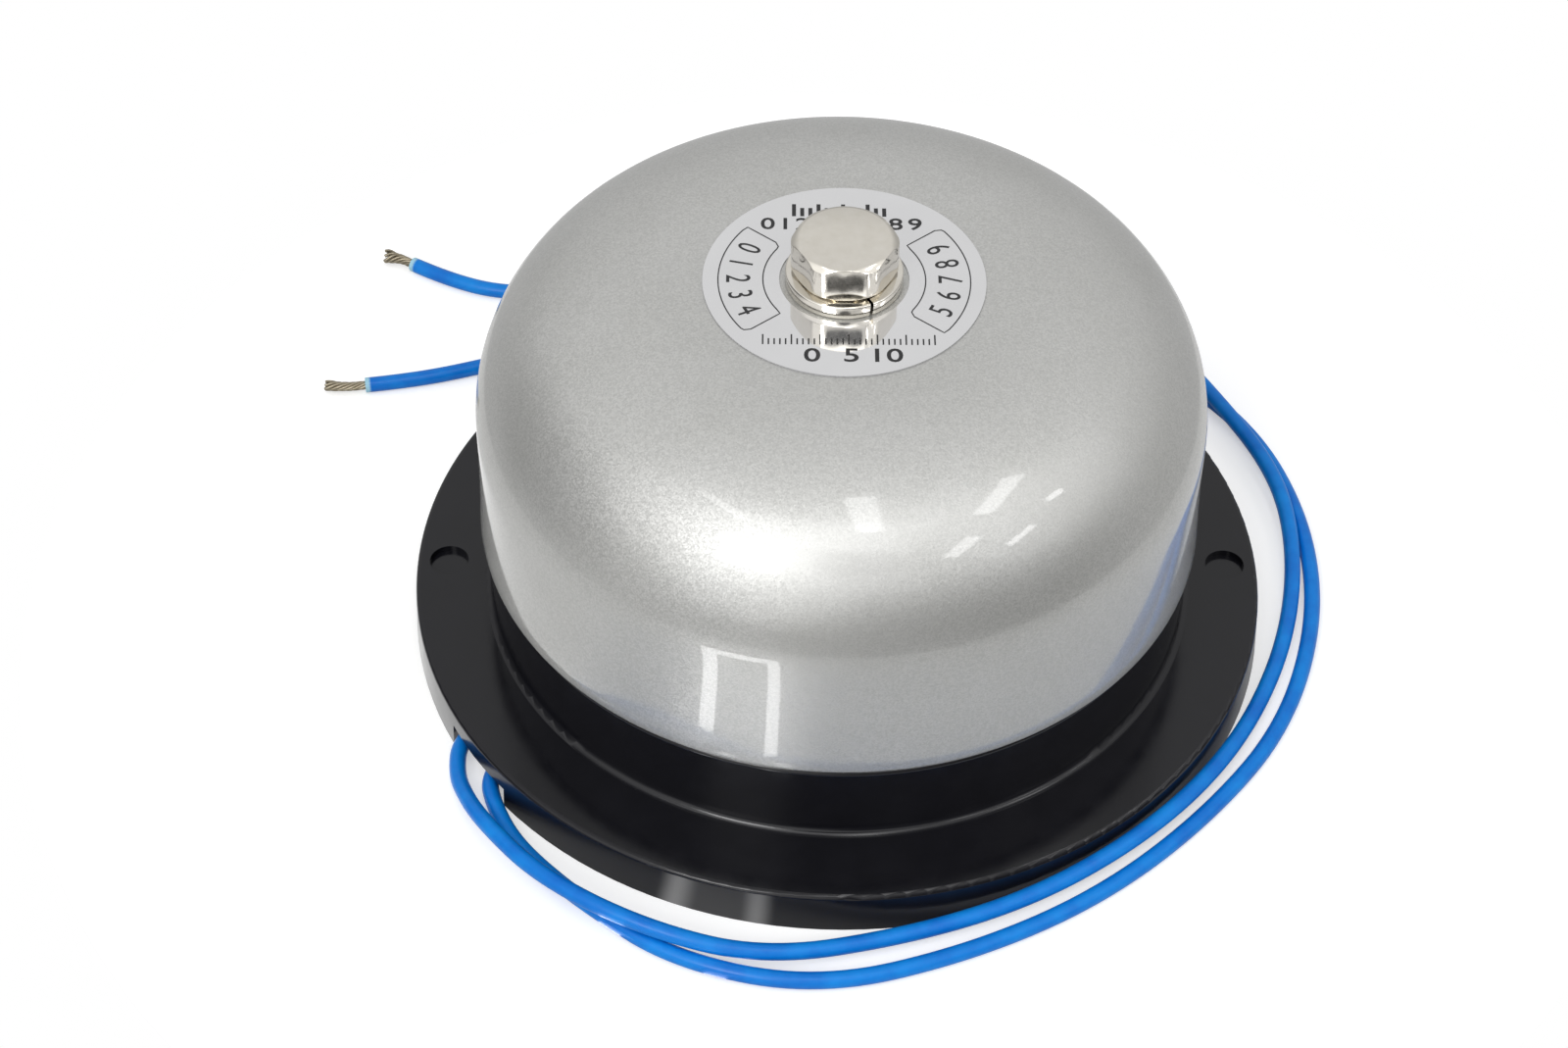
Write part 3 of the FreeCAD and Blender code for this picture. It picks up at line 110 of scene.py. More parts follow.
def linear(colour):
    """sRGB hex as the linear RGBA that a shader takes."""
    parts = [int(colour[i:i + 2], 16) / 255 for i in (1, 3, 5)]
    return [c / 12.92 if c <= 0.04045 else ((c + 0.055) / 1.055) ** 2.4 for c in parts] + [1.0]


def feed(node, inputs):
    """Gives a node's inputs, in their order or by name, a value, a socket or a node's live output."""
    for name, source in inputs.items() if isinstance(inputs, dict) else enumerate(inputs):
        if isinstance(source, bpy.types.Node):
            source = next(output for output in source.outputs if output.enabled)
        if isinstance(source, bpy.types.NodeSocket):
            node.id_data.links.new(source, node.inputs[name])
        else:
            node.inputs[name].default_value = source


def add(tree, kind, inputs=(), **settings):
    """A node of that kind with its settings and its inputs."""
    node = tree.nodes.new(kind)
    for name, value in settings.items():
        setattr(node, name, value)
    feed(node, inputs)
    return node


def emptied(owner):
    """The node tree of a material or the world, with nothing in it yet."""
    owner.use_nodes = True
    owner.node_tree.nodes.clear()
    return owner.node_tree


def painted(name, colour, **sockets):
    """A material with its shader: colour, and constants set on the shader's own sockets."""
    material = bpy.data.materials.new(name)
    tree = emptied(material)
    values = {key.replace("_", " "): value for key, value in sockets.items()}
    shader = add(tree, "ShaderNodeBsdfPrincipled", {"Base Color": linear(colour), **values})
    add(tree, "ShaderNodeOutputMaterial", (shader,))
    place = add(tree, "ShaderNodeTexCoord").outputs["Object"]
    return material, tree, shader, place


def route(name, points):
    """A smooth open curve with these points, in millimetres, as its control points."""
    curve = bpy.data.curves.new(name, "CURVE")
    curve.dimensions = "3D"
    curve.resolution_u = 12
    line = curve.splines.new("NURBS")
    line.points.add(len(points) - 1)
    for point, place in zip(line.points, points):
        point.co = (*(Vector(place) * MM), 1)
    line.order_u = 3
    line.use_endpoint_u = True
    return placed(name, curve)


# Soft blue PVC insulation, extruded: an even, slightly waxy gloss with faint draw lines and the
# odd scuff from handling.
blue_pvc, tree, shader, place = painted(
    "blue_PVC_extruded", "#0668C2", Roughness=0.34, Specular_IOR_Level=0.22, IOR=1.53,
    Subsurface_Weight=0.05, Subsurface_Scale=0.4 * MM, Subsurface_Radius=(0.2, 0.5, 1.0))
scuff = add(tree, "ShaderNodeTexNoise", {"Scale": 1 / (3.5 * MM), "Detail": 5.0, "Vector": place})
tone = add(tree, "ShaderNodeMapRange", (scuff, 0.35, 0.75, 0.28, 0.44))
feed(shader, {"Roughness": tone})
shade = add(tree, "ShaderNodeMix", {0: scuff, 6: linear("#004FB6"), 7: linear("#0C92E6")}, data_type="RGBA")
# the fresh cut at each free end is paler
for end in (LEAD_A[-1], LEAD_B[-1]):
    off = add(tree, "ShaderNodeVectorMath", (place, Vector(end) * MM), operation="DISTANCE")
    near = add(tree, "ShaderNodeMapRange", (off, CUT_R[0] * MM, CUT_R[1] * MM, 1.0, 0.0))
    shade = add(tree, "ShaderNodeMix", {0: near, 6: shade, 7: linear("#9CC9DC")}, data_type="RGBA")
feed(shader, {"Base Color": shade})
pimple = add(tree, "ShaderNodeTexNoise", {"Scale": 1 / (0.5 * MM), "Detail": 3.0, "Vector": place})
bump = add(tree, "ShaderNodeBump", {"Strength": 0.12, "Distance": 0.02 * MM, "Height": pimple})
feed(shader, {"Normal": bump})

for side, points in (("a", LEAD_A), ("b", LEAD_B)):
    lead = route(f"lead_{side}", points)
    lead.data.bevel_depth = LEAD_R
    lead.data.bevel_resolution = 6
    lead.data.use_fill_caps = True
    lead.data.materials.append(blue_pvc)
    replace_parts(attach(lead, "bell"), f"lead_wire_{side}")


# ---- Stripped lead ends ----------------------------------------------------------------------
# Seven tinned copper strands of each lead, bared for 4 to 5 mm, twisted by hand and dipped in
# solder, so that they are dull, a little grey and stuck together in places.
END_A = ((-50.60, 53.43, 0.95), (-52.00, 54.30, 0.95), (-53.61, 55.30, 1.0), (-55.50, 55.60, 1.1))
END_B = ((-54.00, 32.68, 0.95), (-55.80, 32.40, 0.95), (-58.37, 32.00, 0.95), (-60.50, 32.30, 0.95))
STRANDS = 7
STRAND_R = 0.19 * MM
BUNDLE_R = 0.33 * MM
LAY_TURNS = 1.1
STRAND_STEPS, STRAND_SIDES = 40, 8
OPENING = 3.0              # how late along its length a strand leaves the bundle
OWN_SHARE = (0.2, 1.0)     # each strand's own share of the tip's spread


def group_tree(name, sizes, counts=()):
    """An empty Geometry Nodes tree: a geometry in and out, and inputs for counts, sizes and material."""
    tree = bpy.data.node_groups.new(name, "GeometryNodeTree")
    tree.is_modifier = True
    for way in ("OUTPUT", "INPUT"):
        tree.interface.new_socket("Geometry", in_out=way, socket_type="NodeSocketGeometry")
    for kind, labels in (("Int", counts), ("Float", sizes), ("Material", ("Material",))):
        for label in labels:
            tree.interface.new_socket(label, in_out="INPUT", socket_type=f"NodeSocket{kind}")
    return tree, add(tree, "NodeGroupInput").outputs


def close_tree(tree, geometry, material):
    """Ends a tree: instances become real, and the material goes on."""
    real = add(tree, "GeometryNodeRealizeInstances", (geometry,))
    finished = add(tree, "GeometryNodeSetMaterial", {"Geometry": real, "Material": material})
    add(tree, "NodeGroupOutput", (finished,))


def plain_mesh(maker):
    """What an object evaluates to, as a mesh.  The object itself goes."""
    depsgraph = bpy.context.evaluated_depsgraph_get()
    mesh = bpy.data.meshes.new_from_object(maker.evaluated_get(depsgraph), depsgraph=depsgraph)
    bpy.data.objects.remove(maker)
    return mesh


def grown(name, tree, values, start=None):
    """Runs a tree with its inputs set and keeps what it makes as a plain mesh object."""
    maker = start or placed(f"{name}_maker", bpy.data.meshes.new(name))
    modifier = maker.modifiers.new(name, "NODES")
    modifier.node_group = tree
    keys = {item.name: item.identifier for item in tree.interface.items_tree if item.in_out == "INPUT"}
    for label, value in values.items():
        modifier[keys[label]] = value
    mesh = plain_mesh(maker)
    mesh.name = name
    return placed(name, mesh)


# Tinned copper, dipped: soft dull metal, darker where flux has browned it.
tinned_copper, tree, shader, place = painted("tinned_copper_dipped", "#A7A49C", Metallic=1.0, Roughness=0.42)
stain = add(tree, "ShaderNodeTexNoise", {"Scale": 1 / (0.9 * MM), "Detail": 4.0, "Vector": place})
shade = add(tree, "ShaderNodeMix", {0: stain, 6: linear("#6B604C"), 7: linear("#B4AC99")}, data_type="RGBA")
feed(shader, {"Base Color": shade})
bump = add(tree, "ShaderNodeBump", {"Strength": 0.5, "Distance": 0.05 * MM, "Height": stain})
feed(shader, {"Normal": bump})

strands, given = group_tree(
    "twisted_strands", ("Strand radius", "Bundle radius", "Turns", "Spread"), ("Strands",))
line = add(strands, "GeometryNodeResampleCurve", {0: given["Geometry"], "Count": STRAND_STEPS})
normal = add(strands, "GeometryNodeInputNormal")
tangent = add(strands, "GeometryNodeInputTangent")
along = add(strands, "GeometryNodeSplineParameter")
kept = add(strands, "GeometryNodeCaptureAttribute", (line,))
for label, kind in (("Normal", "VECTOR"), ("Tangent", "VECTOR"), ("Along", "FLOAT")):
    kept.capture_items.new(kind, label)
feed(kept, {"Normal": normal, "Tangent": tangent, "Along": along})
kept = kept.outputs
each = add(strands, "GeometryNodeDuplicateElements",
           {"Geometry": kept["Geometry"], "Amount": given["Strands"]}, domain="SPLINE")
number = each.outputs["Duplicate Index"]
share = add(strands, "ShaderNodeMath", (number, given["Strands"]), operation="DIVIDE")
lay = add(strands, "ShaderNodeMath", (kept["Along"], given["Turns"]), operation="MULTIPLY")
whole = add(strands, "ShaderNodeMath", (share, lay), operation="ADD")
angle = add(strands, "ShaderNodeMath", (whole, math.tau), operation="MULTIPLY")
cosine = add(strands, "ShaderNodeMath", (angle,), operation="COSINE")
sine = add(strands, "ShaderNodeMath", (angle,), operation="SINE")
side = add(strands, "ShaderNodeVectorMath", (kept["Normal"], kept["Tangent"]), operation="CROSS_PRODUCT")
one = add(strands, "ShaderNodeVectorMath", {0: kept["Normal"], "Scale": cosine}, operation="SCALE")
two = add(strands, "ShaderNodeVectorMath", {0: side, "Scale": sine}, operation="SCALE")
ring = add(strands, "ShaderNodeVectorMath", (one, two), operation="ADD")
# the strands open a little towards the tip, each by its own amount
pick = add(strands, "FunctionNodeRandomValue",
           {2: OWN_SHARE[0], 3: OWN_SHARE[1], "Seed": 5, "ID": number}, data_type="FLOAT")
opening = add(strands, "ShaderNodeMath", (kept["Along"], OPENING), operation="POWER")
spread = add(strands, "ShaderNodeMath", (opening, given["Spread"]), operation="MULTIPLY")
own = add(strands, "ShaderNodeMath", (spread, pick), operation="MULTIPLY")
reach = add(strands, "ShaderNodeMath",
            (own, given["Bundle radius"], given["Bundle radius"]), operation="MULTIPLY_ADD")
offset = add(strands, "ShaderNodeVectorMath", {0: ring, "Scale": reach}, operation="SCALE")
moved = add(strands, "GeometryNodeSetPosition", {0: each, "Offset": offset})
profile = add(strands, "GeometryNodeCurvePrimitiveCircle",
              {"Resolution": STRAND_SIDES, "Radius": given["Strand radius"]})
wires = add(strands, "GeometryNodeCurveToMesh", {0: moved, 1: profile, "Fill Caps": True})
smooth = add(strands, "GeometryNodeSetShadeSmooth", (wires,))
close_tree(strands, smooth.outputs[0], given["Material"])

for side, points, spread_of_tip in (("a", END_A, 1.6), ("b", END_B, 0.7)):
    end = grown(f"bared_end_{side}", strands, {
        "Strands": STRANDS, "Strand radius": STRAND_R, "Bundle radius": BUNDLE_R, "Turns": LAY_TURNS,
        "Spread": spread_of_tip, "Material": tinned_copper}, route(f"end_route_{side}", points))
    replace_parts(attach(end, "bell"), f"lead_end_{side}")


# ---- Floor, world and lamps ------------------------------------------------------------------
# A white sheet under and round the bell.  A big window lights it from the left front, with a soft
# ceiling panel and a lamp overhead and small lamps at the right; the rest is even room light.
FLOOR_R = 0.09
SHEET_LIGHT, SHEET_MIRRORED = 0.45, 0.1    # what makes the sheet white, and the share of it that gloss shows
# painted reflection: the sheet glows in gloss only in a patch spread from one place, which the gong's skirt
# mirrors
PAINTED_GLOW_FROM, PAINTED_GLOW_NEAR = (0.24, -16.2, 0), 39.0
PAINTED_WINDOW_FRAME = (    # the painted frame less its panes: middle and half of the spread, far edge, painted light
    (0.5016, 0.1933, 60.3, 4.9),
    (0.496, 0.126, 55.4, -4.9),
)
PAINTED_RIM_STREAKS = ((0.225, 0.0), (0.292, 3.0), (0.35, 0.6), (0.49, 0.6), (0.565, 3.1), (0.635, 0.0))
RIM_FAR = 37.5    # the softer painted light next to the flange's rim, which mirrors it, and where that ends
# painted light: the brightest paper, beside the flange's left rim, glows in gloss only: its light, and where
# that comes and goes
PAINTED_PAPER_GLOW = (0.35, 1.0)
PAPER_OUT, PAPER_ACROSS, PAPER_END = (0.056, 0.051), (-0.048, -0.041), (-0.037, -0.04)
ROOM_LIGHT = 0.6
ROOM_SEEN = (0.5, 0.82)    # what metal sees at the horizon and overhead
# the dim side of the room: which way, its edges across and upwards, and its light
DIM_SIDE = (0.34, -0.94, 0), (0.1, 0.85), (0.0, 0.38), 0.08
# a lit wall beside the window, a dark one further left, lit ones at the right and below the
# window, then whoever looks at the bell
PATCHES = (    # each: which way, its soft edge as a cosine, its light
    ((-0.63, -0.44, 0.64), (0.8, 0.98), 1.3),
    ((-0.98, 0.1, 0.1), (0.8, 0.98), 0.15),
    ((0.69, -0.28, 0.67), (0.8, 0.98), 1.2),
    ((-0.41, -0.88, 0.24), (0.85, 0.98), 1.5),
    ((0.02, -0.75, 0.66), (0.985, 0.994), 0.02),
)


def built(name, shell, material):
    """The finished bmesh as an object of that material."""
    mesh = bpy.data.meshes.new(name)
    shell.to_mesh(mesh)
    shell.free()
    mesh.materials.append(material)
    return placed(name, mesh)


# the sheet's material: evenly white paper, which also carries the painted reflections below
paper = bpy.data.materials.new("white_paper_painted_glows")
sweep = bmesh.new()
bmesh.ops.create_circle(sweep, cap_ends=True, radius=FLOOR_R, segments=128)
floor = built("floor", sweep, paper)
floor.location.z = -0.05 * MM    # just clear of the flange's underside

tree = emptied(paper)
diffuse = add(tree, "ShaderNodeBsdfDiffuse", {"Color": linear("#DCDCDB")})
path = add(tree, "ShaderNodeLightPath").outputs
seen = add(tree, "ShaderNodeMath",
           (path["Is Camera Ray"], path["Is Transmission Ray"]), operation="MAXIMUM")
seen = add(tree, "ShaderNodeMath", (path["Is Glossy Ray"], SHEET_MIRRORED, seen), operation="MULTIPLY_ADD")
level_up = add(tree, "ShaderNodeMath", (seen, SHEET_LIGHT), operation="MULTIPLY")
# painted reflection: a patch of the sheet glows in the window frame's shape, in gloss only, and the gong's
# skirt mirrors it
spot = add(tree, "ShaderNodeTexCoord").outputs["Object"]
inward = add(tree, "ShaderNodeVectorMath", (Vector(PAINTED_GLOW_FROM) * MM, spot), operation="SUBTRACT")
apart = add(tree, "ShaderNodeVectorMath", (inward,), operation="LENGTH")
past = add(tree, "ShaderNodeMath", (apart, PAINTED_GLOW_NEAR * MM), operation="GREATER_THAN")
past = add(tree, "ShaderNodeMath", (past, path["Is Glossy Ray"]), operation="MULTIPLY")
inward = add(tree, "ShaderNodeSeparateXYZ", (inward,))
turn = add(tree, "ShaderNodeMath", (inward.outputs["X"], inward.outputs["Y"]), operation="ARCTAN2")
for middle, half, far, light in PAINTED_WINDOW_FRAME:
    within = add(tree, "ShaderNodeMath", (turn, middle, half), operation="COMPARE")
    near = add(tree, "ShaderNodeMath", (apart, far * MM), operation="LESS_THAN")
    painted_pane = add(tree, "ShaderNodeMath", (within, near), operation="MULTIPLY")
    painted_pane = add(tree, "ShaderNodeMath", (painted_pane, light), operation="MULTIPLY")
    painted_pane = add(tree, "ShaderNodeMath", (painted_pane, past), operation="MULTIPLY")
    level_up = add(tree, "ShaderNodeMath", (level_up, painted_pane), operation="ADD")
# painted highlights: glowing streaks across the spread, seen in gloss only near the flange's rim
painted_streaks = add(tree, "ShaderNodeValToRGB", (turn,))
painted_streaks.color_ramp.interpolation = "EASE"
painted_streaks.color_ramp.elements[1].color = (0, 0, 0, 1)
for spread, light in PAINTED_RIM_STREAKS:
    painted_streaks.color_ramp.elements.new(spread).color = (light, light, light, 1)
near = add(tree, "ShaderNodeMath", (apart, RIM_FAR * MM), operation="LESS_THAN")
near = add(tree, "ShaderNodeMath", (near, path["Is Glossy Ray"]), operation="MULTIPLY")
near = add(tree, "ShaderNodeMath", (near, painted_streaks), operation="MULTIPLY")
level_up = add(tree, "ShaderNodeMath", (level_up, near), operation="ADD")
# painted reflection: the sheet glows brightest beside the flange's left rim, in gloss only, so that the rim
# mirrors it
beside = add(tree, "ShaderNodeVectorMath", (spot,), operation="LENGTH")
beside = add(tree, "ShaderNodeMapRange", (beside, *PAPER_OUT))
leftward = add(tree, "ShaderNodeSeparateXYZ", (spot,))
painted_paper_glow = add(tree, "ShaderNodeMapRange", (leftward.outputs["X"], *PAPER_ACROSS, *PAINTED_PAPER_GLOW))
ends_at = add(tree, "ShaderNodeMapRange", (leftward.outputs["X"], *PAPER_END))
for share in (beside.outputs[0], ends_at.outputs[0], path["Is Glossy Ray"]):
    painted_paper_glow = add(tree, "ShaderNodeMath", (painted_paper_glow, share), operation="MULTIPLY")
level_up = add(tree, "ShaderNodeMath", (level_up, painted_paper_glow), operation="ADD")
glow = add(tree, "ShaderNodeEmission", {"Strength": level_up})
both = add(tree, "ShaderNodeAddShader", (diffuse, glow))
add(tree, "ShaderNodeOutputMaterial", {"Surface": both})

world = bpy.data.worlds.new("room")
bpy.context.scene.world = world
tree = emptied(world)
way = add(tree, "ShaderNodeTexCoord").outputs["Generated"]
height = add(tree, "ShaderNodeSeparateXYZ", (way,))
sky = add(tree, "ShaderNodeMapRange", (height.outputs["Z"], 0.1, 0.6, *ROOM_SEEN))
# bright metal also shows the dim side of the room in front, and whoever looks at it as a dark patch
ahead = add(tree, "ShaderNodeVectorMath", (way, (1, 1, 0)), operation="MULTIPLY")
ahead = add(tree, "ShaderNodeVectorMath", (ahead,), operation="NORMALIZE")
toward, wide, high, low_light = DIM_SIDE
facing = add(tree, "ShaderNodeVectorMath", (ahead, toward), operation="DOT_PRODUCT")
across_it = add(tree, "ShaderNodeMapRange", (facing, *wide), interpolation_type="SMOOTHSTEP")
up_it = add(tree, "ShaderNodeMapRange",
            (height.outputs["Z"], *high, 1.0, 0.0), interpolation_type="SMOOTHSTEP")
share = add(tree, "ShaderNodeMath", (across_it, up_it), operation="MULTIPLY")
dim = add(tree, "ShaderNodeMix", {0: share, 2: sky, 3: low_light}, data_type="FLOAT")
for toward, edge, light in PATCHES:
    facing = add(tree, "ShaderNodeVectorMath", (way, toward), operation="DOT_PRODUCT")
    share = add(tree, "ShaderNodeMapRange", (facing, *edge), interpolation_type="SMOOTHSTEP")
    dim = add(tree, "ShaderNodeMix", {0: share, 2: dim, 3: light}, data_type="FLOAT")
path = add(tree, "ShaderNodeLightPath").outputs
clear = add(tree, "ShaderNodeMath",
            (path["Is Camera Ray"], path["Is Transmission Ray"]), operation="MAXIMUM")
lit = add(tree, "ShaderNodeMix", {0: path["Is Glossy Ray"], 2: ROOM_LIGHT, 3: dim}, data_type="FLOAT")
brightness = add(tree, "ShaderNodeMix", {0: clear, 2: lit, 3: 1.0}, data_type="FLOAT")
background = add(tree, "ShaderNodeBackground", {"Color": (1, 1, 1, 1), "Strength": brightness})
add(tree, "ShaderNodeOutputWorld", {"Surface": background})


LAMPS_AIM = 0.035    # the height that every lamp faces


def lamp(name, azimuth, elevation, distance, width, height, power, turn=0.0):
    """An area lamp that faces the bell; azimuth runs from +Y towards +X, in degrees."""
    data = bpy.data.lights.new(name, "AREA")
    data.shape = "RECTANGLE"
    data.size, data.size_y, data.energy = width, height, power
    a, e = math.radians(azimuth), math.radians(elevation)
    out = Vector((math.sin(a) * math.cos(e), math.cos(a) * math.cos(e), math.sin(e)))
    obj = placed(name, data)
    aimed = out.to_track_quat("Z", "Y").to_matrix().to_4x4() @ Matrix.Rotation(math.radians(turn), 4, "Z")
    obj.matrix_world = Matrix.Translation(out * distance + Vector((0, 0, LAMPS_AIM))) @ aimed
    obj.visible_camera = False
    return obj


lamp("window", -151, 38, 1.21, 0.36, 0.38, 4.6)
lamp("window_edge", -122, 62, 1.21, 0.06, 0.34, 0.19, turn=77)
for k, grow in enumerate((1.16, 1.0, 0.8)):    # one inside the other, so that the panel's edge is soft
    lamp(f"ceiling_panel_{k + 1}", -172, 60, 1.2 + 0.01 * k, 0.9 * grow, 0.42 * grow, 0.7 * grow ** 2)
lamp("front_glow", 170, 25, 1.2, 0.6, 0.3, 0.3)
lamp("overhead_lamp", 162, 74, 1.19, 0.12, 0.5, 0.8, turn=-10)
lamp("small_lamp_high", 106, 57, 1.2, 0.115, 0.4, 0.68, turn=-72)
lamp("small_lamp_middle", 140, 39, 1.22, 0.095, 0.26, 0.4, turn=-52)
lamp("small_lamp_side", 103, 38, 1.22, 0.07, 0.11, 0.16, turn=-107)
lamp("small_lamp_low", 123, 30, 1.22, 0.06, 0.21, 0.26, turn=-70)


# ---- Base moulding ---------------------------------------------------------------------------
# Flange and drum in one black ABS moulding, with a sunk round mark at each side where a fixing
# screw can be let through.  Its leads' channel opens in the rim at the left front.
def surface(name, light, dark, grain, rough, relief=0.0, stretch=(1, 1, 1), **sockets):
    """A material that one noise of that grain, in millimetres, breaks up in tone, gloss and relief."""
    material, tree, shader, place = painted(name, light, **sockets)
    scaled = add(tree, "ShaderNodeMapping", {"Scale": [s / (grain * MM) for s in stretch], "Vector": place})
    noise = add(tree, "ShaderNodeTexNoise", {"Scale": 1.0, "Detail": 4.0, "Vector": scaled})
    tone = add(tree, "ShaderNodeMix", {0: noise, 6: linear(dark), 7: linear(light)}, data_type="RGBA")
    feed(shader, {"Base Color": tone})
    gloss = add(tree, "ShaderNodeMapRange", (noise, 0.3, 0.7, *rough))
    feed(shader, {"Roughness": gloss})
    if relief:
        bump = add(tree, "ShaderNodeBump", {"Distance": relief * MM, "Height": noise})
        feed(shader, {"Normal": bump})
    return material


def dress(material, *nodes):
    """Puts a material on CAD nodes whose shape stays as it is."""
    for node in nodes:
        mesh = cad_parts[node].data
        mesh.materials.clear()
        mesh.materials.append(material)


# Black ABS out of a polished mould: deep black, a clean gloss with faint flow waves.
dress(surface("black_ABS_moulded", "#15151A", "#0E0E12", 3.0, (0.13, 0.2), 0.004, Specular_IOR_Level=0.33,
              IOR=1.54), "base_housing")


# ---- Gong ------------------------------------------------------------------------------------
# Pressed from 1.2 mm steel into a cup: a flat crown, two arcs that run into each other, a skirt
# that opens a little and a rounded lip.  It is sprayed silver and lacquered.
GONG_R, GONG_WALL, LIP_Z, CROWN_Z = 38.35, 1.2, 15.0, 46.4
CROWN_FLAT_R, CROWN_ARC_R, SHOULDER_R, GONG_HOLE_R, LIP_EASE = 17.0, 29.4, 15.7, 3.3, 0.36
RIM_FLARE, HOLE_EASE = 0.45, 0.15
WIDE_STEPS, TIGHT_STEPS, SKIRT_STEPS = 12, 16, 8
SAME_PLACE = 1e-7    # points nearer than this, in metres, are one
FLAKE = 0.15    # the flakes are about 0.04 mm, drawn this coarse so that they show


def eased(corners, ease=0.0, closed=True, steps=4):
    """A line through the (r, z) corners with each rounded by ease, or by the corner's own third value."""
    line = []
    for i, corner in enumerate(corners):
        place, radius = Vector(corner[:2]), corner[2] if len(corner) > 2 else ease
        if radius == 0 or (not closed and i in (0, len(corners) - 1)):
            line.append(place)
            continue
        back = Vector(corners[i - 1][:2]) - place
        on = Vector(corners[(i + 1) % len(corners)][:2]) - place
        half = back.angle(on) / 2
        reach = min(radius / math.tan(half), 0.49 * back.length, 0.49 * on.length)
        back, on = back.normalized(), on.normalized()
        centre = place + (back + on).normalized() * (reach / math.cos(half))
        arm = place + back * reach - centre
        sweep = (math.pi - 2 * half) * (1 if arm.cross(place + on * reach - centre) > 0 else -1)
        line += [centre + Matrix.Rotation(sweep * k / steps, 2) @ arm for k in range(steps + 1)]
    return line + line[:1] if closed else line


lathe, given = group_tree("lathe", ("Merge",), ("Segments",))
count = add(lathe, "GeometryNodeAttributeDomainSize", (given["Geometry"],))
columns = add(lathe, "ShaderNodeMath", (given["Segments"], 1.0), operation="ADD")
grid = add(lathe, "GeometryNodeMeshGrid", {"Vertices X": columns, "Vertices Y": count})
index = add(lathe, "GeometryNodeInputIndex")
share = add(lathe, "ShaderNodeMath", (index, count), operation="DIVIDE")
column = add(lathe, "ShaderNodeMath", (share,), operation="FLOOR")
row = add(lathe, "ShaderNodeMath", (index, count), operation="MODULO")
where = add(lathe, "GeometryNodeInputPosition")
on_line = add(lathe, "GeometryNodeSampleIndex", {"Geometry": given["Geometry"]}, data_type="FLOAT_VECTOR")
feed(on_line, {"Value": where, "Index": row})
part = add(lathe, "ShaderNodeMath", (column, given["Segments"]), operation="DIVIDE")
angle = add(lathe, "ShaderNodeMath", (part, math.tau), operation="MULTIPLY")
round_axis = add(lathe, "ShaderNodeVectorRotate",
                 {"Vector": on_line, "Angle": angle}, rotation_type="Z_AXIS")
turned_grid = add(lathe, "GeometryNodeSetPosition", {0: grid, "Position": round_axis})
merged = add(lathe, "GeometryNodeMergeByDistance", {0: turned_grid, "Distance": given["Merge"]})
close_tree(lathe, merged.outputs[0], given["Material"])


def settled(piece, place=Matrix(), sharp=35):
    """Merges doubles, turns faces outwards, puts the mesh in its place and marks its sharp edges."""
    shell = bmesh.new()
    shell.from_mesh(piece.data)
    bmesh.ops.remove_doubles(shell, verts=shell.verts, dist=SAME_PLACE)
    bmesh.ops.recalc_face_normals(shell, faces=shell.faces)
    shell.to_mesh(piece.data)
    shell.free()
    piece.data.transform(place)
    piece.data.shade_smooth()
    piece.data.set_sharp_from_angle(angle=math.radians(sharp))
    return piece


def turned(name, line, material, segments=96, place=Matrix()):
    """A solid of revolution from its (r, z) line in millimetres."""
    mesh = bpy.data.meshes.new(name)
    mesh.from_pydata([(r * MM, 0, z * MM) for r, z in line], [], [])
    start = placed(name, mesh)
    values = {"Segments": segments, "Merge": SAME_PLACE, "Material": material}
    return settled(grown(name, lathe, values, start), place)


def mount(piece, body, slot, *nodes):
    """The piece rides on that body and stands for those CAD nodes; its slot is not used."""
    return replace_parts(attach(piece, body), *nodes)


# Silver paint: leafing aluminium flake in a clear lacquer.  Each flake lies at its own small tilt,
# which gives the broad sparkling glow, and the lacquer over it gives the sharp reflections.
silver_paint, tree, shader, place = painted(
    "silver_flake_paint", "#C8C8C6", Metallic=0.66, Roughness=0.46, Coat_Weight=1.0, Coat_Roughness=0.06,
    Coat_IOR=1.5)
flakes = add(tree, "ShaderNodeTexVoronoi", {"Scale": 1 / (FLAKE * MM), "Vector": place})
centred = add(tree, "ShaderNodeVectorMath",
              (flakes.outputs["Color"], (0.5, 0.5, 0.5)), operation="SUBTRACT")
tilt = add(tree, "ShaderNodeVectorMath", {0: centred, "Scale": 0.1}, operation="SCALE")
flat = add(tree, "ShaderNodeNewGeometry")
tilted = add(tree, "ShaderNodeVectorMath", (flat.outputs["Normal"], tilt), operation="ADD")
lie = add(tree, "ShaderNodeVectorMath", (tilted,), operation="NORMALIZE")
feed(shader, {"Normal": lie})
own = add(tree, "ShaderNodeSeparateXYZ", (flakes.outputs["Color"],))
tone = add(tree, "ShaderNodeMix",
           {0: own.outputs["X"], 6: linear("#B5B5B3"), 7: linear("#C8C8C6")}, data_type="RGBA")
cloud = add(tree, "ShaderNodeTexNoise", {"Scale": 1 / (9 * MM), "Detail": 3.0, "Vector": place})
shade = add(tree, "ShaderNodeMix",
            {0: cloud, 6: tone, 7: linear("#F2F2F0")}, data_type="RGBA", blend_type="MULTIPLY")
feed(shader, {"Base Color": shade})
peel = add(tree, "ShaderNodeTexNoise", {"Scale": 1 / (1.6 * MM), "Detail": 2.0, "Vector": place})
wave = add(tree, "ShaderNodeBump", {"Strength": 0.35, "Distance": 0.012 * MM, "Height": peel})
feed(shader, {"Coat Normal": wave})

split = math.asin((GONG_R - CROWN_FLAT_R - SHOULDER_R) / (CROWN_ARC_R - SHOULDER_R))
foot = CROWN_Z - CROWN_ARC_R + (CROWN_ARC_R - SHOULDER_R) * math.cos(split)


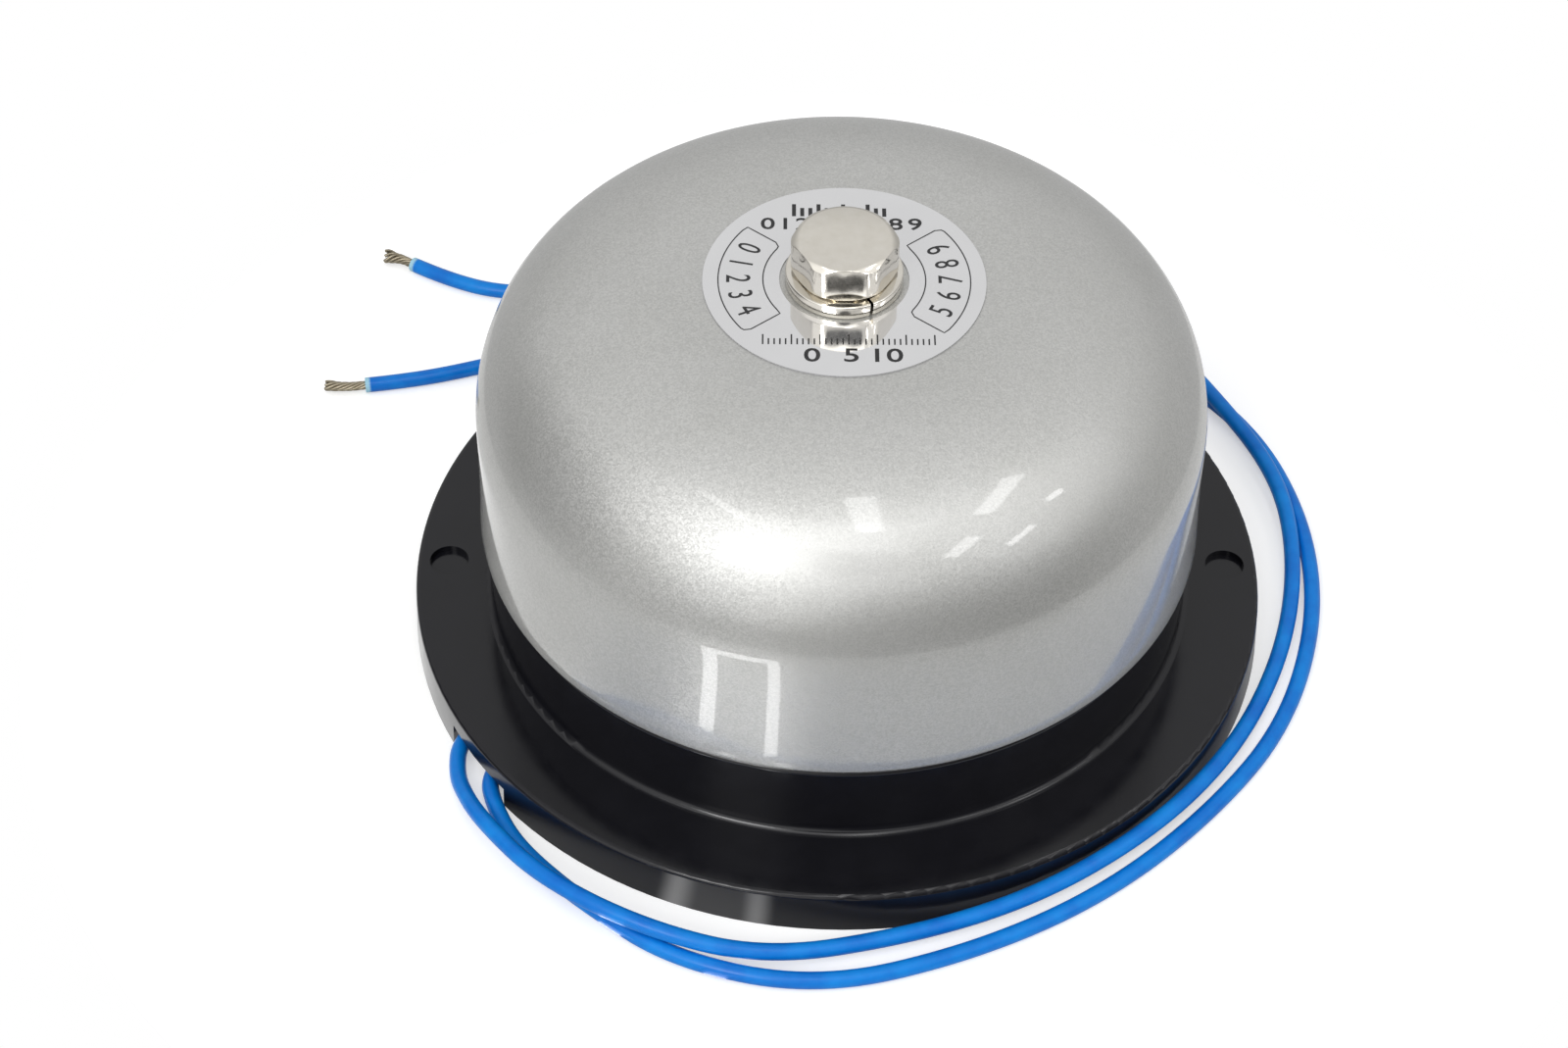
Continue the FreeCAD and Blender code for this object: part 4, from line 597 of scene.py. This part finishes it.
def pressed_side(inset):
    """One face of the wall, from the crown's flat to the foot of the shoulder."""
    crown, shoulder = CROWN_ARC_R - inset, SHOULDER_R - inset
    wide = [split * k / WIDE_STEPS for k in range(WIDE_STEPS + 1)]
    tight = [split + (math.pi / 2 - split) * k / TIGHT_STEPS for k in range(1, TIGHT_STEPS + 1)]
    line = [(CROWN_FLAT_R + crown * math.sin(a), CROWN_Z - CROWN_ARC_R + crown * math.cos(a)) for a in wide]
    middle = GONG_R - SHOULDER_R
    return line + [(middle + shoulder * math.sin(a), foot + shoulder * math.cos(a)) for a in tight]


# the wall opens a little on its way down, as the press leaves it
falls = [k / SKIRT_STEPS for k in range(1, SKIRT_STEPS)]
flare = [(RIM_FLARE * fall ** 2, foot + (LIP_Z - foot) * fall) for fall in falls]
outer = pressed_side(0) + [(GONG_R + out, z) for out, z in flare]
inner = pressed_side(GONG_WALL) + [(GONG_R - GONG_WALL + out, z) for out, z in flare]
section = [(GONG_HOLE_R, CROWN_Z, HOLE_EASE)] + outer + [(GONG_R + RIM_FLARE, LIP_Z, LIP_EASE)]
section += [(GONG_R + RIM_FLARE - GONG_WALL, LIP_Z, LIP_EASE)] + inner[::-1]
section.append((GONG_HOLE_R, CROWN_Z - GONG_WALL, HOLE_EASE))
mount(turned("gong_shell", eased(section), silver_paint, 192), "bell", "silver_paint", "gong")


# ---- Gong label ------------------------------------------------------------------------------
# A punched ring of white polyester film, glossy on top, stuck to the crown.  Its print is a plain
# dial: numbers in two framed sectors, with scales and numbers above and below the bolt.
INK_LOW, INK_HIGH = 46.54, 46.57
FRAME_R = (8.25, 12.8)
FRAME_HALF_ANGLE = 39
FRAME_CORNER = 0.7
FRAME_LINE = 0.13
FRAME_STEPS = 24
DIGIT_R = 10.9
DIGIT_STEP = 13
DIGIT_H = 2.5
CAP_SHARE = 0.7      # a capital's share of the letter size

# Metallised polyester film, printed white: bright, and half a mirror, so that it shows the bolt.
dress(surface("metallised_polyester_film", "#E2E2E3", "#DCDCDD", 4.0, (0.03, 0.06), 0.002, Metallic=0.86,
              Coat_Weight=0.6, Coat_Roughness=0.02), "gong_label")
# Its punched edge is cut film without metal: grey and dull.
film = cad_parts["gong_label"].data
film.materials.append(surface("cut_film_edge", "#A9A9AA", "#9B9B9D", 0.5, (0.4, 0.55)))
for face in film.polygons:
    face.material_index = int(abs(face.normal.z) < 0.5)
# Screen ink: black with a dull gloss and slightly uneven cover.
ink = surface("black_screen_ink", "#1B1B1D", "#101012", 0.3, (0.25, 0.45))


def inked(name, shell):
    """A printed mark: a thin closed mesh on the label."""
    return mount(settled(built(name, shell, ink)), "bell", "label_film")


def sector_line(middle):
    """The closed line of a framed sector, its corners rounded."""
    low, high = (math.radians(middle + s * FRAME_HALF_ANGLE) for s in (-1, 1))
    (r0, r1), ease, line = FRAME_R, FRAME_CORNER, []
    for r, start, end, way in ((r1, low, high, 1), (r0, high, low, -1)):
        trim = way * ease / r
        arc = [start + trim + (end - start - 2 * trim) * k / FRAME_STEPS for k in range(FRAME_STEPS + 1)]
        line += [Vector((r * math.cos(a), r * math.sin(a))) for a in arc]
        radial = Vector((math.cos(end), math.sin(end)))
        line.append(radial * (r - way * ease * 0.3) * 0.5 + line[-1] * 0.5)
        line.append(radial * (r - way * ease))
        other = r0 + ease if way > 0 else r1 - ease
        line.append(radial * other)
        corner = radial * (r0 if way > 0 else r1)
        line.append(radial * (other - way * ease * 0.7) * 0.5 + corner * 0.5)
    return line


def band(shell, line, width):
    """A closed line as a thin flat band of that width."""
    rings = []
    for i, point in enumerate(line):
        along = (line[(i + 1) % len(line)] - line[i - 1]).normalized()
        out = Vector((along.y, -along.x)) * width / 2
        corners = ((point - out, INK_LOW), (point + out, INK_LOW),
                   (point + out, INK_HIGH), (point - out, INK_HIGH))
        rings.append([shell.verts.new((p.x * MM, p.y * MM, z * MM)) for p, z in corners])
    for i, ring_now in enumerate(rings):
        ring_next = rings[(i + 1) % len(rings)]
        for k in range(4):
            shell.faces.new((ring_now[k], ring_now[(k + 1) % 4], ring_next[(k + 1) % 4], ring_next[k]))


frames = bmesh.new()
for middle in (0, 180):
    band(frames, sector_line(middle), FRAME_LINE)
inked("dial_frames", frames)


def figures(name, marks):
    """Numbers as one mesh; each mark has its text, height, width share, boldness, place and turn."""
    whole = bmesh.new()
    for text, height, narrow, bold, x, y, turn in marks:
        curve = bpy.data.curves.new(name, "FONT")
        curve.body, curve.align_x, curve.align_y = text, "CENTER", "CENTER"
        curve.size, curve.offset, curve.extrude = height / CAP_SHARE, bold, (INK_HIGH - INK_LOW) / 2
        curve.resolution_u = 4
        mesh = plain_mesh(placed(name, curve))
        mesh.transform(Matrix.Translation((x * MM, y * MM, (INK_LOW + INK_HIGH) / 2 * MM))
                       @ Matrix.Rotation(math.radians(turn), 4, "Z")
                       @ Matrix.Diagonal((narrow * MM, MM, MM, 1)))
        whole.from_mesh(mesh)
    return inked(name, whole)


dial = []
for number in range(10):
    middle = 180 if number < 5 else 0
    at = middle + DIGIT_STEP * (number % 5 - 2)
    a = math.radians(at)
    dial.append((str(number), DIGIT_H, 0.72, 0.0, DIGIT_R * math.cos(a), DIGIT_R * math.sin(a), at + 90))
figures("dial_numbers", dial)
rows = [(text, 1.75, 1.25, 0.03, x, 8.5, 0)
        for text, x in (("0", -7.8), ("1", -6.0), ("2", -4.2), ("8", 5.4), ("9", 7.4))]
rows += [(text, 1.9, 1.3, 0.03, x, -11.45, 0) for text, x in (("0", -3.3), ("5", 0.6), ("10", 4.0))]
figures("row_numbers", rows)

scale, given = group_tree("scale", ("Spacing", "Width", "Short", "Tall", "Thickness"), ("Count", "Every"))
pitch = add(scale, "ShaderNodeCombineXYZ", {"X": given["Spacing"]})
line = add(scale, "GeometryNodeMeshLine", {"Count": given["Count"], "Offset": pitch})
index = add(scale, "GeometryNodeInputIndex")
rest = add(scale, "ShaderNodeMath", (index, given["Every"]), operation="MODULO")
long_one = add(scale, "ShaderNodeMath", (rest, 0.5), operation="LESS_THAN")
height = add(scale, "ShaderNodeMix", {0: long_one, 2: given["Short"], 3: given["Tall"]}, data_type="FLOAT")
size = add(scale, "ShaderNodeCombineXYZ", {"X": given["Width"], "Y": height, "Z": given["Thickness"]})
half = add(scale, "ShaderNodeMath", (height, 0.5), operation="MULTIPLY")
lift = add(scale, "ShaderNodeCombineXYZ", {"Y": half})
raised = add(scale, "GeometryNodeSetPosition", {0: line, "Offset": lift})
cube = add(scale, "GeometryNodeMeshCube")
ticks = add(scale, "GeometryNodeInstanceOnPoints", {"Points": raised, "Instance": cube, "Scale": size})
close_tree(scale, ticks.outputs[0], given["Material"])


def tick_row(name, x, y, count, every, spacing, width, short, tall):
    """A printed scale from (x, y) on, with every so-many-th stroke tall."""
    values = {"Count": count, "Every": every, "Spacing": spacing * MM, "Width": width * MM,
              "Short": short * MM, "Tall": tall * MM, "Thickness": (INK_HIGH - INK_LOW) * MM,
              "Material": ink}
    piece = grown(name, scale, values)
    place = Matrix.Translation((x * MM, y * MM, (INK_LOW + INK_HIGH) / 2 * MM))
    return mount(settled(piece, place), "bell", "label_film")


tick_row("upper_scale", -5.1, 9.8, 12, 3, 0.85, 0.42, 1.3, 1.9)
tick_row("lower_scale", -8.2, -9.8, 31, 5, 0.57, 0.16, 0.85, 1.45)


# ---- Gong bolt and spring washer -------------------------------------------------------------
# M6 hexagon screw, cold headed and nickel plated, with a split spring washer under its head.
HEAD_AF, HEAD_H, HEAD_FLAT_R, HEAD_SEAT = 10.0, 4.2, 4.55, 47.9
HEAD_CORNER_R, HEAD_FOOT_SLOPE = 5.45, 0.8     # the corners are tumbled round above and below
THREAD_R, THREAD_PITCH, SHANK_L = 3.0, 1.0, 16.0
THREAD_EASE, THREAD_LAND, THREAD_DEPTH, RUN_OUT = 0.6, 0.15, 0.55, 0.9
SEAT_STEP, SEAT_INSET = 0.15, 0.3              # a head's washer face
TOP_EASE, TOP_CORNER, TOP_CROWN = 0.16, 0.03, 0.04
WASHER_R, WASHER_BORE, SPLIT_ANGLE, SPLIT_GAP = 6.0, 3.2, -66.0, 0.35
WASHER_EASE, WASHER_STEPS, SPLIT_SLANT = 0.18, 96, 0.1

# Nickel plate over steel: warm white metal, bright and smooth with a few plating pits.
nickel = surface("nickel_plate_bright", "#E4E0D8", "#D6D1C6", 1.1, (0.08, 0.16), 0.005, Metallic=1.0)


def fixed_row(r, z):
    """A row that is the same all round."""
    return lambda a: (r, z)


def hexagon_head(across, height, flat_r, slope=1.3, corner_r=math.inf, foot_slope=0.0):
    """Rows of a headed screw's hexagon, from its seat to its middle: each gives r and z at an angle."""
    def side(a):
        flat = across / 2 / math.cos((a + math.pi / 6 + math.pi / 2 + 1e-9) % (math.pi / 3) - math.pi / 6)
        return min(flat, corner_r)

    edge, seat_r = height - TOP_EASE, across / 2 - SEAT_INSET
    return [fixed_row(seat_r, 0), fixed_row(seat_r, SEAT_STEP),
            lambda a: (side(a), SEAT_STEP + (side(a) - across / 2) * foot_slope),
            lambda a: (side(a), edge - (side(a) - across / 2) * slope),
            fixed_row(across / 2 - TOP_CORNER, edge), fixed_row(seat_r, height - TOP_CROWN),
            fixed_row(flat_r, height), fixed_row(0, height)]


def polar(name, rows, material, columns=96, bevel=0.12, place=Matrix()):
    """A closed solid round Z from rows of (r, z), each a function of the angle; its edges are eased."""
    shell = bmesh.new()
    angles = [math.tau * k / columns for k in range(columns)]
    rings = [[shell.verts.new((row(a)[0] * MM * math.cos(a), row(a)[0] * MM * math.sin(a), row(a)[1] * MM))
              for a in angles] for row in rows]
    for one, two in zip(rings, rings[1:]):
        for k in range(columns):
            j = (k + 1) % columns
            shell.faces.new((one[k], one[j], two[j], two[k]))
    bmesh.ops.remove_doubles(shell, verts=shell.verts, dist=SAME_PLACE)
    bmesh.ops.recalc_face_normals(shell, faces=shell.faces)
    edges = [e for e in shell.edges if len(e.link_faces) == 2 and e.calc_face_angle() > math.radians(38)]
    bmesh.ops.bevel(shell, geom=edges, offset=bevel * MM, segments=3, profile=0.5, affect="EDGES",
                    clamp_overlap=True)
    return settled(built(name, shell, material), place)


shank = [fixed_row(0, -SHANK_L), fixed_row(THREAD_R - THREAD_EASE, -SHANK_L)]
z = -SHANK_L + THREAD_EASE
while z < -RUN_OUT - 0.3:
    shank += [fixed_row(THREAD_R, z), fixed_row(THREAD_R, z + THREAD_LAND),
              fixed_row(THREAD_R - THREAD_DEPTH, z + THREAD_DEPTH)]
    z += THREAD_PITCH
shank += [fixed_row(THREAD_R, -RUN_OUT), fixed_row(THREAD_R, 0)]
bolt_rows = shank + hexagon_head(HEAD_AF, HEAD_H, HEAD_FLAT_R, 1.0, HEAD_CORNER_R, HEAD_FOOT_SLOPE)
mount(polar("gong_bolt_screw", bolt_rows, nickel, place=Matrix.Translation((0, 0, HEAD_SEAT * MM))),
      "bell", "zinc_steel", "gong_bolt")

washer_line = eased([(WASHER_BORE, CROWN_Z), (WASHER_R, CROWN_Z), (WASHER_R, HEAD_SEAT),
                     (WASHER_BORE, HEAD_SEAT)], WASHER_EASE)[:-1]
shell = bmesh.new()
start = math.radians(SPLIT_ANGLE) + SPLIT_GAP / WASHER_R
end = math.radians(SPLIT_ANGLE) + math.tau
rings = []
for k in range(WASHER_STEPS + 1):
    a = start + (end - start) * k / WASHER_STEPS
    rings.append([])
    for r, z in washer_line:
        slant = a + SPLIT_SLANT * (z - CROWN_Z) / WASHER_R
        rings[-1].append(shell.verts.new((r * MM * math.cos(slant), r * MM * math.sin(slant), z * MM)))
for one, two in zip(rings, rings[1:]):
    for k in range(len(one)):
        shell.faces.new((one[k - 1], one[k], two[k], two[k - 1]))
shell.faces.new(rings[0])
shell.faces.new(rings[-1][::-1])
mount(settled(built("split_spring_washer", shell, nickel)), "bell", "zinc_steel", "spring_washer")


# ---- Gong post and its fastening -------------------------------------------------------------
# A turned steel pillar with two spanner flats, zinc plated and passivated.  Its stud goes through
# the yoke plate and the deck to a washer and an M6 nut; a fibre washer on top seats the gong.
# Zinc plate, pale yellow passivation: soft lustre, its tint drifting from straw to grey.
yellow_zinc = surface(
    "zinc_plate_pale_yellow", "#D3D0C2", "#BFB797", 2.6, (0.24, 0.38), 0.0015, Metallic=1.0)
# Bright zinc plate, clear passivation: cold grey white, cloudier than nickel.
bright_zinc = surface("zinc_plate_bright", "#D8D8D6", "#C2C3C5", 1.2, (0.18, 0.32), 0.006, Metallic=1.0)
# Vulcanised fibre: dense red board with a dull, slightly hairy face.
red_fibre = surface("vulcanised_fibre_red", "#AC6850", "#8A4936", 0.6, (0.6, 0.78), 0.02)
dress(yellow_zinc, "gong_post")
dress(bright_zinc, "post_washer", "post_nut")
dress(red_fibre, "gong_seat_washer")


# ---- Yoke frame and pivot bracket ------------------------------------------------------------
# The yoke is blanked from 2 mm steel with one wall turned up, and the bracket is a C of 1.6 mm
# strip.  Two slotted pan heads hold each to the deck; the coil is earthed to the frame by a lug.
# Bright drawn wire: fine draw lines along the wire, thinly oiled.
drawn_wire = surface("spring_wire_drawn", "#C2C2C2", "#ABABAC", 0.35, (0.2, 0.34), 0.001, (1, 1, 0.3),
                     Metallic=1.0)
dress(yellow_zinc, "yoke_frame", "pivot_bracket")
dress(drawn_wire, "pivot_pin")
dress(bright_zinc, "frame_screws", "bracket_screws")
dress(tinned_copper, "frame_lug")


# ---- Electromagnet ---------------------------------------------------------------------------
# A nylon bobbin wound with about 84 turns to a layer of 0.25 mm enamelled copper, on an iron core
# that a hexagon screw pulls against the yoke's wall.  Amber tape holds the last layer.
ALONG_X = Matrix.Rotation(math.radians(90), 4, "Y")
COIL_FOOT = (-3.0, 13.5, 25.2)     # where the coil's axis meets the yoke's wall
CORE_SCREW_AF, CORE_SCREW_H, CORE_SCREW_R, CORE_SCREW_L = 7.0, 2.8, 2.0, 9.0
CORE_SCREW_EASE = 0.3
YOKE_T = 2.0
WIRE_R, WINDING_R, WINDING_BORE, WINDING_Z = 0.125, 7.45, 4.6, (1.25, 22.25)
WINDING_TURNS = 84


def at(x, y, z):
    """A move to a place given in millimetres."""
    return Matrix.Translation(Vector((x, y, z)) * MM)


def joined(name, material, *pieces):
    """Several meshes of one material as one piece."""
    whole = bmesh.new()
    for piece in pieces:
        whole.from_mesh(piece.data)
        bpy.data.objects.remove(piece)
    return settled(built(name, whole, material))


# Nickel-plated annealed iron: warm grey with a satin face.
dress(surface("soft_iron_nickelled", "#BFBBB2", "#A29E95", 0.9, (0.26, 0.4), 0.002, Metallic=1.0),
      "coil_core", "armature")
# Natural nylon: creamy, waxy, and light goes a little way into it.
dress(surface("nylon_natural", "#E9E5DA", "#DDD7C6", 2.2, (0.38, 0.5), 0.004, Subsurface_Weight=0.25,
              Subsurface_Scale=0.5 * MM), "coil_bobbin")

turn_down = Matrix.Rotation(math.radians(-90), 4, "Y")
core_rows = [fixed_row(0, -CORE_SCREW_L), fixed_row(CORE_SCREW_R - CORE_SCREW_EASE, -CORE_SCREW_L),
             fixed_row(CORE_SCREW_R, -CORE_SCREW_L + CORE_SCREW_EASE), fixed_row(CORE_SCREW_R, 0)]
core_rows += hexagon_head(CORE_SCREW_AF, CORE_SCREW_H, CORE_SCREW_AF * 0.42)
core_place = at(COIL_FOOT[0] - YOKE_T, *COIL_FOOT[1:]) @ turn_down
mount(polar("core_hexagon_screw", core_rows, bright_zinc, place=core_place),
      "bell", "zinc_steel", "core_screw")

# Enamelled copper wire: warm metal under a clear amber varnish that pools between the turns.
copper = surface("copper_wire_enamelled", "#CE8A5C", "#B06A3E", 0.8, (0.18, 0.3), Metallic=0.92,
                 Coat_Weight=0.7, Coat_Roughness=0.08, Coat_IOR=1.55)
winding, given = group_tree("winding", ("Turns", "Radius", "Length", "Wire radius"))
spiral = add(winding, "GeometryNodeCurveSpiral", {
    "Resolution": 28, "Rotations": given["Turns"], "Start Radius": given["Radius"],
    "End Radius": given["Radius"], "Height": given["Length"]})
profile = add(winding, "GeometryNodeCurvePrimitiveCircle",
              {"Resolution": 6, "Radius": given["Wire radius"]})
wire = add(winding, "GeometryNodeCurveToMesh", {0: spiral, 1: profile, "Fill Caps": True})
close_tree(winding, wire.outputs[0], given["Material"])

low, high = WINDING_Z
coil_place = at(*COIL_FOOT) @ ALONG_X
top_layer = grown("top_layer", winding, {
    "Turns": WINDING_TURNS, "Radius": (WINDING_R - WIRE_R) * MM, "Length": (high - low - 2 * WIRE_R) * MM,
    "Wire radius": WIRE_R * MM, "Material": copper})
top_layer.data.transform(coil_place @ at(0, 0, low + WIRE_R))
lower_r = WINDING_R - 1.5 * WIRE_R
lower_line = [(WINDING_BORE, low), (lower_r, low), (lower_r, high), (WINDING_BORE, high),
              (WINDING_BORE, low)]
lower_layers = turned("lower_layers", lower_line, copper, 64, coil_place)
mount(joined("wound_wire", copper, top_layer, lower_layers), "bell", "enamelled_copper", "coil_winding")

# Amber polyester tape: clear enough to show the turns through it, with a hard gloss.
dress(surface("polyester_tape_amber", "#E6C55E", "#DDB440", 3.0, (0.06, 0.14), 0.003,
              Transmission_Weight=0.7, IOR=1.3), "coil_tape")


# ---- Armature and hammer ---------------------------------------------------------------------
# An iron plate brazed to a barrel that turns on the pin.  A brass stud keeps it off the pole; its
# tail grips a bent steel wire with a turned brass ball that strikes the gong from inside.
# Turned brass: bright, with fine tool rings and the first warm tarnish.
brass = surface("brass_turned", "#E2C88C", "#CBAA66", 0.45, (0.14, 0.28), 0.004, (0.3, 0.3, 1), Metallic=1.0)
dress(brass, "residual_stud", "hammer_head")
dress(drawn_wire, "hammer_rod")


# ---- Return spring ---------------------------------------------------------------------------
# Tension spring of 0.5 mm wire: eleven close turns, a loop round the groove of its brass post and
# a hook through the eye in the armature's tail.  The real one stretches when the armature is pulled in; here
# it keeps one shape.
SPRING_POST, SPRING_Z = (9.0, -7.0), 25.2
SPRING_WIRE_R, SPRING_TURN_R, SPRING_TURNS = 0.24, 1.55, 11
SPRING_BODY = (11.9, 17.8)
SPRING_LOOP_R = 1.38
SPRING_STEPS = 16                          # points in each turn
LOOP_START, LOOP_STEP, LOOP_POINTS = 50, 20, 14    # round the post's groove, in degrees

dress(brass, "spring_post")
round_wire, given = group_tree("round_wire", ("Wire radius",))
profile = add(round_wire, "GeometryNodeCurvePrimitiveCircle",
              {"Resolution": 10, "Radius": given["Wire radius"]})
wire = add(round_wire, "GeometryNodeCurveToMesh", {0: given["Geometry"], 1: profile, "Fill Caps": True})
close_tree(round_wire, wire.outputs[0], given["Material"])

post_x, post_y = SPRING_POST
path = []
for k in range(LOOP_POINTS):
    a = math.radians(LOOP_START + LOOP_STEP * k)
    path.append((post_x + SPRING_LOOP_R * math.cos(a), post_y + SPRING_LOOP_R * math.sin(a), SPRING_Z))
path += [(10.45, post_y - 0.45, SPRING_Z), (10.95, post_y, SPRING_Z + 0.2), (11.3, post_y, SPRING_Z + 0.9),
         (11.55, post_y + 0.1, SPRING_Z + 1.45)]
start, end = SPRING_BODY
for k in range(SPRING_TURNS * SPRING_STEPS + 1):
    a = math.tau * k / SPRING_STEPS
    x = start + (end - start) * k / (SPRING_TURNS * SPRING_STEPS)
    path.append((x, post_y - SPRING_TURN_R * math.sin(a), SPRING_Z + SPRING_TURN_R * math.cos(a)))
path += [(x, post_y, SPRING_Z + z) for x, z in (
    (18.4, 1.65), (19.1, 1.75), (20.0, 1.75), (20.75, 1.3), (20.9, 0.6), (20.9, 0.0), (20.9, -0.8),
    (20.75, -1.4), (20.1, -1.75), (19.4, -1.7), (18.9, -1.3))]
wire_values = {"Wire radius": SPRING_WIRE_R * MM, "Material": drawn_wire}
spring = settled(grown("wound_spring", round_wire, wire_values, route("spring_path", path)))
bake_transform(spring)
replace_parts(spring, "return_spring")


# ---- Contact breaker -------------------------------------------------------------------------
# A bronze leaf riveted to the armature carries a silver contact.  The other sits on the nose of an
# adjusting screw, locked by a nut in a brass angle that stands insulated on the frame.
# Rolled phosphor bronze: pink gold with straight rolling lines.
dress(surface("phosphor_bronze_rolled", "#DDB78C", "#C2956A", 0.3, (0.2, 0.32), 0.001, (1, 0.1, 1),
              Metallic=1.0), "contact_leaf")
# Fine silver, dulled by sparks in the middle.
dress(surface("fine_silver", "#EFEDE8", "#CFCBC2", 0.5, (0.2, 0.42), 0.006, Metallic=1.0),
      "moving_contact", "contact_tip")
dress(brass, "leaf_rivets", "contact_screw", "contact_lock_nut", "contact_stand")
# Paper laminate: brown board whose layers show on the sawn edges.
laminate = surface("paper_laminate_brown", "#AE8A61", "#8A663F", 0.9, (0.42, 0.58), 0.006, (0.3, 0.3, 5),
                   Coat_Weight=0.2, Coat_Roughness=0.25)
dress(laminate, "contact_insulator", "contact_bushes", "terminal_strip")
dress(bright_zinc, "stand_screws")


# ---- Terminals in the base -------------------------------------------------------------------
# A laminate strip under the deck with two tinned tags.  A small resistor across them damps the
# sparks; each tag takes one inner wire and one flying lead, soldered.
OUTLET = math.radians(-126.0)      # the way the leads' channel points
OUTLET_OFFSET = 16.16              # its line passes the bell's axis at this distance
TAG_SIDE, TAG_Z = 4.5, 7.0
RESISTOR_IN, RESISTOR_Z, RESISTOR_R, RESISTOR_HALF, RESISTOR_WIRE_R = 11.72, 5.9, 1.5, 2.8, 0.3
LEG_BEND = 0.4
SOLDER_IN, SOLDER_R, SOLDER_END = 16.12, 1.1, 5.2


def outlet(along, side, z):
    """A place given along and across the leads' channel."""
    off = side - OUTLET_OFFSET
    return Vector((along * math.cos(OUTLET) - off * math.sin(OUTLET),
                   along * math.sin(OUTLET) + off * math.cos(OUTLET), z))


dress(tinned_copper, "terminal_tags")
dress(bright_zinc, "strip_screw")
# Soft solder: bright, frosted where it froze last, with a trace of flux.
solder = surface("soft_solder", "#D4D4D6", "#A9A9A8", 0.7, (0.14, 0.36), 0.02, Metallic=1.0)
bead = [(0, TAG_Z), (SOLDER_R, TAG_Z), (SOLDER_R * 0.97, 6.5), (SOLDER_R * 0.85, 6.0),
        (SOLDER_R * 0.6, 5.55), (SOLDER_R * 0.4, SOLDER_END + 0.08), (0.2, SOLDER_END), (0, SOLDER_END)]
beads = [turned(f"bead_{k}", bead, solder, 32, at(*outlet(SOLDER_IN, side, 0)))
         for k, side in enumerate((-TAG_SIDE, TAG_SIDE))]
mount(joined("solder_beads", solder, *beads), "bell", "solder", "solder_joints")

# Resistor lacquer: tan body with brown, black, brown and gold rings.
LACQUER, BROWN, BLACK, GOLD = "#B89A72", "#5E3418", "#161413", "#B8923C"
lacquer, tree, shader, place = painted(
    "resistor_lacquer_banded", LACQUER, Roughness=0.3, Coat_Weight=0.4, Coat_Roughness=0.1)
axis = (outlet(0, 1, 0) - outlet(0, 0, 0)).normalized()
middle = outlet(RESISTOR_IN, 0, RESISTOR_Z)
from_middle = add(tree, "ShaderNodeVectorMath", (place, middle * MM), operation="SUBTRACT")
along = add(tree, "ShaderNodeVectorMath", (from_middle, axis), operation="DOT_PRODUCT")
share = add(tree, "ShaderNodeMapRange", (along, -RESISTOR_HALF * MM, RESISTOR_HALF * MM))
rings = add(tree, "ShaderNodeValToRGB", (share,))
stops = rings.color_ramp
stops.interpolation = "CONSTANT"
stops.elements[0].color = linear(LACQUER)
stops.elements.remove(stops.elements[1])
for start, colour in ((0.16, BROWN), (0.24, LACQUER), (0.36, BLACK), (0.44, LACQUER),
                      (0.54, BROWN), (0.62, LACQUER), (0.76, GOLD), (0.84, LACQUER)):
    stops.elements.new(start).color = linear(colour)
feed(shader, {"Base Color": rings})
uneven = add(tree, "ShaderNodeTexNoise", {"Scale": 1 / (0.6 * MM), "Detail": 3.0, "Vector": place})
bump = add(tree, "ShaderNodeBump", {"Strength": 0.3, "Distance": 0.03 * MM, "Height": uneven})
feed(shader, {"Normal": bump})

waist = RESISTOR_R * 0.84
body = eased([(0, -RESISTOR_HALF), (RESISTOR_R * 0.75, -RESISTOR_HALF, 0.3), (RESISTOR_R, -2.35, 0.4),
              (RESISTOR_R, -1.75, 0.4), (waist, -1.3, 0.4), (waist, 1.3, 0.4), (RESISTOR_R, 1.75, 0.4),
              (RESISTOR_R, 2.35, 0.4), (RESISTOR_R * 0.75, RESISTOR_HALF, 0.3), (0, RESISTOR_HALF)],
             closed=False)
resistor_place = at(*middle) @ axis.to_track_quat("Z", "Y").to_matrix().to_4x4()
mount(turned("resistor_body", body, lacquer, 48, resistor_place), "bell", "resistor_coat", "quench_resistor")
low, high = RESISTOR_Z, TAG_Z
bent = [outlet(RESISTOR_IN, side, z) for side, z in (
    (-TAG_SIDE, high), (-TAG_SIDE, low + LEG_BEND), (-TAG_SIDE, low), (LEG_BEND - TAG_SIDE, low), (0, low),
    (TAG_SIDE - LEG_BEND, low), (TAG_SIDE, low), (TAG_SIDE, low + LEG_BEND), (TAG_SIDE, high))]
legs = grown("resistor_legs", round_wire, {"Wire radius": RESISTOR_WIRE_R * MM, "Material": tinned_copper},
             route("resistor_route", bent))
mount(settled(legs), "bell", "tinned_copper")


# ---- Inner wires and clamp -------------------------------------------------------------------
# Sleeved wires run from the coil and the contact stand through the deck to the tags.  A black
# nylon saddle, held by one screw, grips both flying leads against a pad.
# Red PVC sleeve, soft and slightly waxy.
dress(surface("PVC_sleeve_red", "#C8443C", "#AE2F29", 1.4, (0.36, 0.5), 0.006, Subsurface_Weight=0.1,
              Subsurface_Scale=0.3 * MM), "coil_leads", "contact_lead")
dress(surface("nylon_black", "#343436", "#262628", 0.6, (0.4, 0.56), 0.008), "lead_clamp")
dress(bright_zinc, "clamp_screw")


# ---- Bottom cover ----------------------------------------------------------------------------
# A flat moulded plate let into the underside, with a fine spark-eroded texture, held by three
# countersunk screws.
dress(surface("plastic_cover_textured", "#3F3F41", "#303032", 0.3, (0.55, 0.75), 0.03), "bottom_cover")
dress(bright_zinc, "cover_screws")
